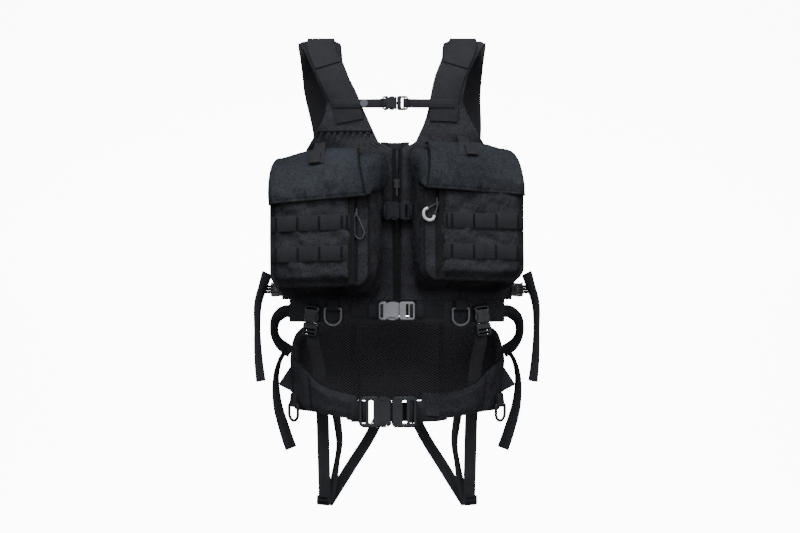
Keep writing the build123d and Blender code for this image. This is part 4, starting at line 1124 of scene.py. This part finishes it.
# %% Flaps
for side, tag in ((1, "left"), (-1, "right")):
    body = f"flap_{tag}"
    main, ear = flap_main(side), flap_ear(side)
    sheet(f"flap_cloth_{tag}", main, 76, 60, 2.4, FLAP_CLOTH, body, stands_for=[f"pocket_flap_{tag}"])
    sheet(f"flap_ear_{tag}", ear, 22, 30, 2.4, FLAP_CLOTH, body)
    outward = Vector((side * sin(POCKET_TURN), -cos(POCKET_TURN), 0))
    tube(f"flap_seam_{tag}", [Vector(main(0.004, v / 16)) + outward * 0.6 + Vector((0, 0, 0.6 * (1 - v / 16)))
                              for v in range(3, 17)], 1.3, BINDING, body)
    tube(f"flap_hem_binding_{tag}", [Vector(main(u / 40, 1.0)) + Vector((0, 0, -0.2)) for u in range(41)],
         1.5, BINDING, body)
    tube(f"flap_ear_binding_{tag}", [Vector(ear(1.0, t / 20)) for t in range(21)], 1.3, BINDING, body)
    hem = [Vector(main(0.01 + 0.84 * n / 60, 0.955)) + outward * 1.4 for n in range(61)]
    stitches(f"flap_hem_stitch_{tag}", [hem], body=body, radius=0.42)
    tab_v = [0.10, 0.24, 0.36, 0.46, 0.53]
    tab_u = MAIN_SHARE * (TAB_ACROSS[side] - seam_across(side, 0.1)) / (FLAP_HALF - seam_across(side, 0.1))
    tab = [Vector(main(tab_u, v)) + Vector((0, 0, 2.8)) + outward * 1.6 for v in tab_v]
    tab = [Vector(main(tab_u, 0.0)) + Vector((0, 0, 11)) + outward * 1.5] + tab
    for n, spot in enumerate(tab):
        spot.x = tab[0].x
    strap(f"flap_tab_{tag}", tab, [(cos(POCKET_TURN), side * sin(POCKET_TURN), 0)] * 6, 20, 2.0, body=body)
    tip = [Vector(main(tab_u, v)) + Vector((0, 0, 4.6)) + outward * 3.6 for v in (0.33, 0.42, 0.53)]
    strap(f"flap_tab_fold_{tag}", tip, [(cos(POCKET_TURN), side * sin(POCKET_TURN), 0)] * 3, 20, 2.0,
          body=body)
print("flaps made")

# %% [markdown]
# ## Pouch zip pulls
# A loop of thin cord hangs from each pouch zip. On the wearer's left it carries a thick moulded grip.

# %% Pulls
pull_out = POCKET_D + 4.6


def pull_loop(side, spots):
    """Closed cord path from (across, height) spots in the pocket's frame."""
    path = [in_pocket(side, x, pull_out + 2.0 * n / len(spots), z) for n, (x, z) in enumerate(spots)]
    return path + path[:1]


right_loop = pull_loop(-1, [(-64, -298), (-67, -304), (-75, -322), (-79, -333), (-75.5, -341), (-69, -342),
                            (-63.5, -336), (-62.5, -326), (-62.6, -306)])
left_loop = pull_loop(1, [(-62, -289), (-67, -293), (-77, -299), (-84, -303), (-88, -309), (-86, -318),
                      (-79, -321),
                          (-71, -318), (-69, -311), (-66, -300)])
cord_right = tube("pouch_cord_right", right_loop, 1.15, CORD, "pouch_pull_right", 2.0,
                  closed=True)
cord_left = tube("pouch_cord_left", left_loop, 1.15, CORD, "pouch_pull_left", 2.0, closed=True)
grip = [in_pocket(1, x, pull_out + 1.4, z) for x, z in
        ((-82, -301), (-87, -304), (-89, -310), (-87, -317), (-80, -321), (-73, -319), (-70.5, -313))]
tube("pouch_grip_left", grip, 2.5, GRIP, "pouch_pull_left", 2.0, sides=12)
for side, tag, piece in ((1, "left", cord_left), (-1, "right", cord_right)):
    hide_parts(f"pouch_zip_pull_{tag}")
    top = -286 if side > 0 else -294
    block = [in_pocket(side, -64, pull_out - 2, top + 3), in_pocket(side, -64, pull_out - 1, top - 4),
             in_pocket(side, -64, pull_out, top - 11)]
    strap(f"pouch_slider_{tag}", block, [(cos(POCKET_TURN), side * sin(POCKET_TURN), 0)] * 3, 6, 2.6,
          BLACK_PLASTIC, f"pouch_pull_{tag}", step=3)
print("pulls made")

# %% [markdown]
# ## Front zip
# Two rows of teeth interlock below the slider and part above it. The teeth repeat along a line, so Geometry
# Nodes place them too. The cloth tapes beside them are flat straps.

# %% Zip
chain_low, chain_high = (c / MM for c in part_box("front_zip_chain"))
slider_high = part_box("front_zip_slider")[1] / MM
zip_y = (chain_low.y + chain_high.y) / 2
TOOTH_PITCH = 1.9


def tooth_line(side):
    """One row of teeth: closed below the slider, parted above it."""
    line = []
    for z in range(int(chain_low.z), int(chain_high.z) + 1, 4):
        gap = ease((z - slider_high.z + 6) / (chain_high.z - slider_high.z + 6))
        line.append((side * (1.2 + 1.6 * gap), zip_y, z))
    return line


tooth_rows = [tooth_line(-1), tooth_line(1)]
teeth = stitches("front_zip_teeth", tooth_rows, pitch=TOOTH_PITCH, length=1.3, radius=1.35, material=TEETH)
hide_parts("front_zip_chain")
for side in (-1, 1):
    path = [(side * 7.0 + (p[0] - side * 1.2) * 0.5, zip_y + 1.5, p[2]) for p in tooth_line(side)[::6]]
    path.append((side * 8.4, zip_y + 1.5, chain_high.z))
    strap(f"front_zip_tape_{'left' if side == 1 else 'right'}", path, [(1, 0, 0)] * len(path), 10.5, 0.8,
          BINDING)
print("zip made")

# %% [markdown]
# ## Front straps
# The sternum strap, the strap across the zip and the waist webs are flat webbing. Each end is folded round
# its buckle's bar, which is why the strap seems to come out of the slot.


# %% Sternum strap
sternum_box = [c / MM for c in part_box("sternum_strap")]
plug_box = [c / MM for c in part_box("sternum_buckle_plug")]
socket_box = [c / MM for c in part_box("sternum_buckle_socket")]
sternum_y = (sternum_box[0].y + sternum_box[1].y) / 2
sternum_z = (sternum_box[0].z + sternum_box[1].z) / 2
buckle_y = (socket_box[0].y + socket_box[1].y) / 2


def webbed_end(x_far, x_bar, y_web, y_buckle, z, tilt=0.0):
    """Path of a web that runs to a buckle bar and turns round it."""
    step = 1 if x_bar > x_far else -1
    return [(x_far, y_web, z), ((x_far + x_bar) / 2, y_web, z + tilt), (x_bar - step * 7, y_web, z),
            (x_bar, y_buckle + 1.5, z), (x_bar + step * 3.4, y_buckle - 1.0, z),
            (x_bar - step * 0.5, y_buckle - 5.6, z), (x_bar - step * 9, y_web - 2.4, z),
            (x_bar - step * 22, y_web - 2.4, z)]


def web_pair(prefix, far, bars, y_web, y_buckle, z, width, stands_for):
    """The two webs of one buckle, from the far ends to its bars."""
    for n, tag in ((0, "right"), (1, "left")):
        path = webbed_end(far[n], bars[n], y_web, y_buckle, z)
        strap(f"{prefix}_{tag}", path, [(0, 0, 1)] * len(path), width, 1.6,
              stands_for=stands_for if n == 0 else (), step=2.5)


web_pair("sternum_web", (sternum_box[0].x, sternum_box[1].x), (socket_box[0].x + 4.5, plug_box[1].x - 4.5),
         sternum_y, buckle_y, sternum_z, 15, ["sternum_strap"])
print("sternum strap made")

# %% Strap across the zip
zip_web_box = [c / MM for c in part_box("zip_strap")]
zip_socket = [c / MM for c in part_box("zip_buckle_socket")]
zip_plug = [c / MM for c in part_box("zip_buckle_plug")]
web_pair("zip_web", (zip_web_box[0].x, zip_web_box[1].x), (zip_socket[0].x + 2.2, zip_plug[1].x - 2.2),
         zip_web_box[0].y + 0.9, (zip_socket[0].y + zip_socket[1].y) / 2,
         (zip_web_box[0].z + zip_web_box[1].z) / 2, 21, ["zip_strap"])
print("zip strap made")

# %% [markdown]
# ## Waistband
# A stiff hem band runs under both panels. It follows the same plan curve as the chest.

# %% Waistband
waist_box = [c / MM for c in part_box("waistband")]
WAIST_LOW, WAIST_HIGH = waist_box[0].z - 3.0, waist_box[1].z + 2.5
WAIST_START, WAIST_END = 34.5, waist_box[1].x


def waist_surface(side, out):
    """Front or back of one half of the waistband."""
    def point(u, v):
        x = WAIST_START + (WAIST_END - WAIST_START) * u
        z = WAIST_LOW + (WAIST_HIGH - WAIST_LOW) * v
        rim = min(v, 1 - v) * (WAIST_HIGH - WAIST_LOW)
        soft = 0.5 + 0.5 * ease(rim / 6)
        spot = on_curve(x, out * soft + 0.7 * wrinkle((x, side, z), 30, 9) * (1 if out > 0 else 0))
        return mirror_point((spot[0], spot[1], z), side)
    return point


for side, tag in ((1, "left"), (-1, "right")):
    pad(f"waist_cloth_{tag}", waist_surface(side, 3.5), waist_surface(side, -3.5), 50, 10, [CLOTH, LINING],
        stands_for=["waistband"] if side == 1 else ())
waist_socket = [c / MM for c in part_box("waist_buckle_socket")]
waist_plug = [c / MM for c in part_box("waist_buckle_plug")]
waist_z = (waist_socket[0].z + waist_socket[1].z) / 2
waist_y = waist_socket[1].y + 1.2
for side, tag, bar in ((-1, "right", waist_socket[0].x + 5.0), (1, "left", waist_plug[1].x - 6.5)):
    far = [(side * x, on_curve(x, 4.8)[1], waist_z) for x in (78, 60, 45)]
    path = far + webbed_end(side * 40, bar, waist_y, (waist_socket[0].y + waist_socket[1].y) / 2, waist_z)[1:]
    strap(f"waist_web_{tag}", path, [(0, 0, 1)] * len(path), 22, 1.8, step=3)
print("waistband made")

# %% [markdown]
# ## Lumbar belt
# The belt is tall and thick at the back and low in front. Its inside is spacer mesh in three fields, with
# sewn channels between them. The wings are thinner and taper towards the buckle.

# %% Belt path
BELT_PLAN = [(0, 118), (118, 112), (182, 62), (184, -40), (136, -100), (66, -140)]
BELT_TURNS = [140, 62, 40, 60]
BELT_SPLIT_Y = -12.0


def rounded_path(points, radii, step=4.0):
    """Plan points along straight runs joined by arcs."""
    path = [Vector((*points[0], 0))]
    for n, radius in enumerate(radii):
        before, corner, after = (Vector((*points[n + k], 0)) for k in range(3))
        a, b = (before - corner).normalized(), (after - corner).normalized()
        half = a.angle(b) / 2
        reach = radius / (sin(half) / cos(half))
        start, end = corner + a * reach, corner + b * reach
        centre = corner + (a + b).normalized() * (radius / sin(half))
        count = max(2, ceil((pi - 2 * half) * radius / step))
        for k in range(count + 1):
            spoke = (start - centre).lerp(end - centre, k / count).normalized() * radius
            path.append(centre + spoke)
    path.append(Vector((*points[-1], 0)))
    return path


belt_points = rounded_path(BELT_PLAN, BELT_TURNS)
belt_runs = [0.0]
for a, b in zip(belt_points, belt_points[1:]):
    belt_runs.append(belt_runs[-1] + (b - a).length)


def belt_at(run):
    """Plan point and outward normal at a run from the middle of the back."""
    run = min(max(run, 0.0), belt_runs[-1])
    n = next((k for k in range(1, len(belt_runs)) if belt_runs[k] >= run), len(belt_runs) - 1)
    span = belt_runs[n] - belt_runs[n - 1]
    spot = belt_points[n - 1].lerp(belt_points[n], (run - belt_runs[n - 1]) / span if span else 0.0)
    ahead, behind = belt_points[min(n + 1, len(belt_points) - 1)], belt_points[max(n - 2, 0)]
    along = (ahead - behind).normalized()
    return spot, Vector((along.y * -1, along.x, 0)) * 1.0


split_run = next(r for r, p in zip(belt_runs, belt_points) if p.x > 150 and p.y < BELT_SPLIT_Y)
print("belt half length", round(belt_runs[-1]), "wing starts at", round(split_run))

# %% Belt pad and wings
BELT_TOP = [(200, -478), (112, -480), (80, -492), (10, -528), (-12, -541), (-60, -559), (-88, -580),
            (-112, -596), (-140, -606)]
BELT_BOTTOM = -637.0
FIELDS = (76.0, 232.0)
CHANNEL = 0.92


def belt_surface(out, start, end, thick_rim, fields):
    """Inner or outer surface of the belt between two signed runs."""
    def point(u, v):
        run = start + (end - start) * u
        spot, normal = belt_at(abs(run))
        flip = -1 if run < 0 else 1
        top = stations(BELT_TOP, spot.y)
        low = BELT_BOTTOM + 2 * ease(spot.y / 100) - 6 * ease((-90 - spot.y) / 40)
        z = low + (top - low) * v
        rim = min(v, 1 - v) * (top - BELT_BOTTOM)
        ends = min(u, 1 - u) * abs(end - start)
        soft = thick_rim + (1 - thick_rim) * ease(min(rim, ends) / 10)
        for field in fields:
            soft *= 1 - CHANNEL * max(0.0, 1 - abs(abs(run) - field) / 11) ** 1.4
        push = -out * soft + 1.1 * wrinkle((run, out, z), 40, 6)
        spot = spot + normal * push
        cone = 1 - 0.035 * (1 - v) * ease((60 - spot.y) / 60)
        return spot.x * flip * cone, spot.y, z
    return point


_, probe = belt_at(0.0)
OUTWARD = 1.0 if probe.y < 0 else -1.0
pad("belt_pad_cloth", belt_surface(7 * OUTWARD, -split_run + 1, split_run - 1, 0.45, FIELDS),
    belt_surface(-7 * OUTWARD, -split_run + 1, split_run - 1, 0.45, FIELDS), 150, 22, [CLOTH, BELT_MESH],
    stands_for=["belt_pad"])
WING_SEAMS = (split_run + 62.0,)
for side, tag in ((1, "left"), (-1, "right")):
    start, end = side * (split_run + 1), side * (belt_runs[-1] - (0 if side == 1 else 2))
    pad(f"belt_wing_cloth_{tag}", belt_surface(4.5 * OUTWARD, start, end, 0.5, WING_SEAMS),
        belt_surface(-4.5 * OUTWARD, start, end, 0.5, ()), 60, 14, [CLOTH, BELT_MESH],
        stands_for=["belt_wings"] if side == 1 else ())
print("belt made")

# %% Belt fins
fin_outline = [(174, -545), (190, -566), (207, -592), (206, -596), (190, -604), (172, -619)]
for side, tag in ((1, "left"), (-1, "right")):
    points = [mirror_point((x, -28 + dy, z), side) for dy in (-2.2, 2.2) for x, z in fin_outline]
    count = len(fin_outline)
    faces = [tuple(range(count)), tuple(range(2 * count - 1, count - 1, -1))]
    faces += [(n, (n + 1) % count, (n + 1) % count + count, n + count) for n in range(count)]
    fin = piece_from(f"belt_fin_{tag}", points, faces, [CLOTH])
    fin.data.shade_flat()
print("fins made")

# %% Belt channels
for side, tag in ((1, "left"), (-1, "right")):
    for n, field in enumerate(FIELDS[:1]):
        spot, normal = belt_at(field)
        inward = spot + normal * (3.2 * -OUTWARD)
        line = [mirror_point((inward.x, inward.y, z), side) for z in (-486, -530, -580, -630)]
        across = Vector((normal.y, -normal.x, 0))
        strap(f"belt_channel_{tag}", line, [mirror_point(tuple(across), side)] * 4, 9, 1.2, BINDING)
print("channels made")

# %% Belt webbing
belt_web_box = [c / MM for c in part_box("belt_webbing")]
belt_socket = [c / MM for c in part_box("belt_buckle_socket")]
belt_plug = [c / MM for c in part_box("belt_buckle_plug")]
belt_web_y = (belt_web_box[0].y + belt_web_box[1].y) / 2
belt_web_z = (belt_web_box[0].z + belt_web_box[1].z) / 2
belt_buckle_y = (belt_socket[0].y + belt_socket[1].y) / 2
for side, tag, bar in ((-1, "right", belt_socket[0].x + 9.5), (1, "left", belt_plug[1].x - 9.5)):
    wing_run = belt_runs[-1]
    far = []
    for back in (20, 10, 2):
        spot, normal = belt_at(wing_run - back)
        far.append((spot.x * side, spot.y, belt_web_z + back * 0.1))
    path = far + webbed_end(side * 62, bar, belt_web_y, belt_buckle_y, belt_web_z)[1:]
    strap(f"belt_web_{tag}", path, [(0, 0, 1)] * len(path), 36, 1.9,
          stands_for=["belt_webbing"] if side == 1 else (), step=4)
strap("belt_wing_tip", [(72, -139.5, -621), (64, -142, -620), (52, -143.5, -619), (41, -144, -618)],
      [(0, 0, 1)] * 4, 38, 5, CLOTH)
keeper_y = belt_plug[1].y + 2.2
strap("belt_web_keeper", [(x, keeper_y + 0.4 * sin(x / 9), belt_web_z - 1) for x in (-38, -20, 0, 20, 31)],
      [(0, 0, 1)] * 5, 32, 1.9, step=4)
print("belt webbing made")

# %% [markdown]
# ## Ring tabs, leg straps and side straps
# These are all ribbons. The free ends hang by their own weight and twist a little, so the direction of their
# width turns along the way.


# %% Ring tabs
def tab_round(name, ring_node, width, up, thick=1.8):
    """A doubled tab of webbing round a ring's bar, sewn to what lies behind."""
    joint = next(j for j in frame["joints"] if j["child"] == ring_node)
    pivot = Vector(joint["pos_m"]) / MM
    axis = Vector(joint["axis"]).normalized()
    out = Vector((0, 0, 1)).cross(axis).normalized()
    if out.y > 0:
        out = -out
    wrap = 3.1
    path = [pivot - out * 2.6 + Vector((0, 0, up)), pivot - out * 2.9 + Vector((0, 0, 1)),
            pivot - out * 1.6 - Vector((0, 0, wrap)), pivot + out * 1.9 - Vector((0, 0, wrap - 0.4)),
            pivot + out * wrap, pivot + out * 2.0 + Vector((0, 0, 4)), pivot - out * 0.2 + Vector((0, 0, up))]
    return strap(name, path, [axis] * len(path), width, thick, step=2)


first = tab_round("waist_tab_left", "d_ring_left", 20, 15)
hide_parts("webbing_tabs")
tab_round("waist_tab_right", "d_ring_right", 20, 15)
tab_round("belt_tab_left", "belt_ring_left", 18, 20)
tab_round("belt_tab_right", "belt_ring_right", 18, 20)
for side, tag in ((1, "left"), (-1, "right")):
    joint = next(j for j in frame["joints"] if j["child"] == f"shoulder_ring_{tag}")
    pivot = Vector(joint["pos_m"]) / MM
    path = [pivot + Vector((0, -26, -1.6)), pivot + Vector((0, -14, -0.4)), pivot + Vector((0, -3, 2.6)),
            pivot + Vector((0, 2.6, 1.2)), pivot + Vector((0, 1.8, -2.4)), pivot + Vector((0, -6, -2.9))]
    strap(f"shoulder_tab_{tag}", path, [(1, 0, 0)] * len(path), 16, 1.5, step=2)
print("ring tabs made")

# %% Leg straps
for side, tag in ((1, "left"), (-1, "right")):
    front = [(143, -99, -488), (143, -99, -516), (135, -84, -560), (129, -73, -640), (127, -67, -715),
             (125, -62, -800)]
    wide = [(1, 0.06, 0)] * 4 + [(1, 0.12, 0), (0.98, 0.2, 0)]
    strap(f"leg_web_front_{tag}", [mirror_point(p, side) for p in front],
          [mirror_point(w, side) for w in wide], 21.5, 1.8, stands_for=["leg_straps"] if side == 1 else ())
    tail = [(119, -60, -796), (112, -58, -770), (105, -58, -730), (100, -58, -690), (106, -56, -640),
            (108, -52, -600)]
    wide = [(0.9, 0.44, 0), (0.7, 0.7, 0), (0.55, 0.8, 0), (0.75, 0.6, 0), (0.85, 0.5, 0), (1, 0.2, 0)]
    strap(f"leg_web_tail_{tag}", [mirror_point(p, side) for p in tail],
          [mirror_point(w, side) for w in wide], 17, 1.8)
    rear = [(26, 110, -632), (31, 100, -660), (52, 64, -700), (80, 14, -740), (104, -28, -775),
            (121, -58, -800)]
    wide = [(1, 0.0, 0), (0.96, 0.15, 0.25), (0.93, 0.15, 0.33), (0.93, 0.15, 0.33), (0.93, 0.15, 0.33),
            (0.97, 0.2, 0.1)]
    strap(f"leg_web_rear_{tag}", [mirror_point(p, side) for p in rear],
          [mirror_point(w, side) for w in wide], 20, 1.8)
print("leg straps made")

# %% Side webs and their free ends
for side, tag in ((1, "left"), (-1, "right")):
    web = [(216, -86, -426), (214, -50, -428), (210, -8, -428), (194, 48, -428), (168, 84, -428),
           (148, 96, -428)]
    strap(f"side_web_{tag}", [mirror_point(p, side) for p in web], [(0, 0, 1)] * 6, 24, 1.8,
          stands_for=["side_straps"] if side == 1 else ())
    tail = [(222, -98, -398), (227, -104, -416), (237, -106, -452), (238, -106, -500), (236, -106, -545),
            (232, -106, -583)]
    wide = [(0.8, -0.6, 0), (0.7, -0.7, 0), (0.45, -0.9, 0), (0.5, -0.87, 0), (0.6, -0.8, 0),
            (0.75, -0.66, 0)]
    strap(f"side_tail_{tag}", [mirror_point(p, side) for p in tail],
          [mirror_point(w, side) for w in wide], 20, 1.8)
    link = [(180, -68, -464), (197, -64, -466), (211, -52, -481), (214, -44, -503), (206, -34, -522),
            (188, -14, -538)]
    wide = [(0.0, 0.1, 1), (0.3, -0.35, 0.9), (0.5, -0.75, 0.45), (0.55, -0.83, 0), (0.4, -0.6, -0.7),
            (0.1, 0.1, -1)]
    strap(f"link_loop_{tag}", [mirror_point(p, side) for p in link],
          [mirror_point(w, side) for w in wide], 22, 1.8)
    tail = [(194, -20, -534), (206, -24, -552), (213, -27, -585), (210, -26, -630), (198, -22, -675),
            (187, -19, -708)]
    wide = [(0.4, -0.9, 0), (0.3, -0.95, 0), (0.35, -0.93, 0), (0.6, -0.8, 0), (0.85, -0.5, 0),
            (0.95, -0.3, 0)]
    strap(f"link_tail_{tag}", [mirror_point(p, side) for p in tail],
          [mirror_point(w, side) for w in wide], 21, 1.8)
print("side straps made")
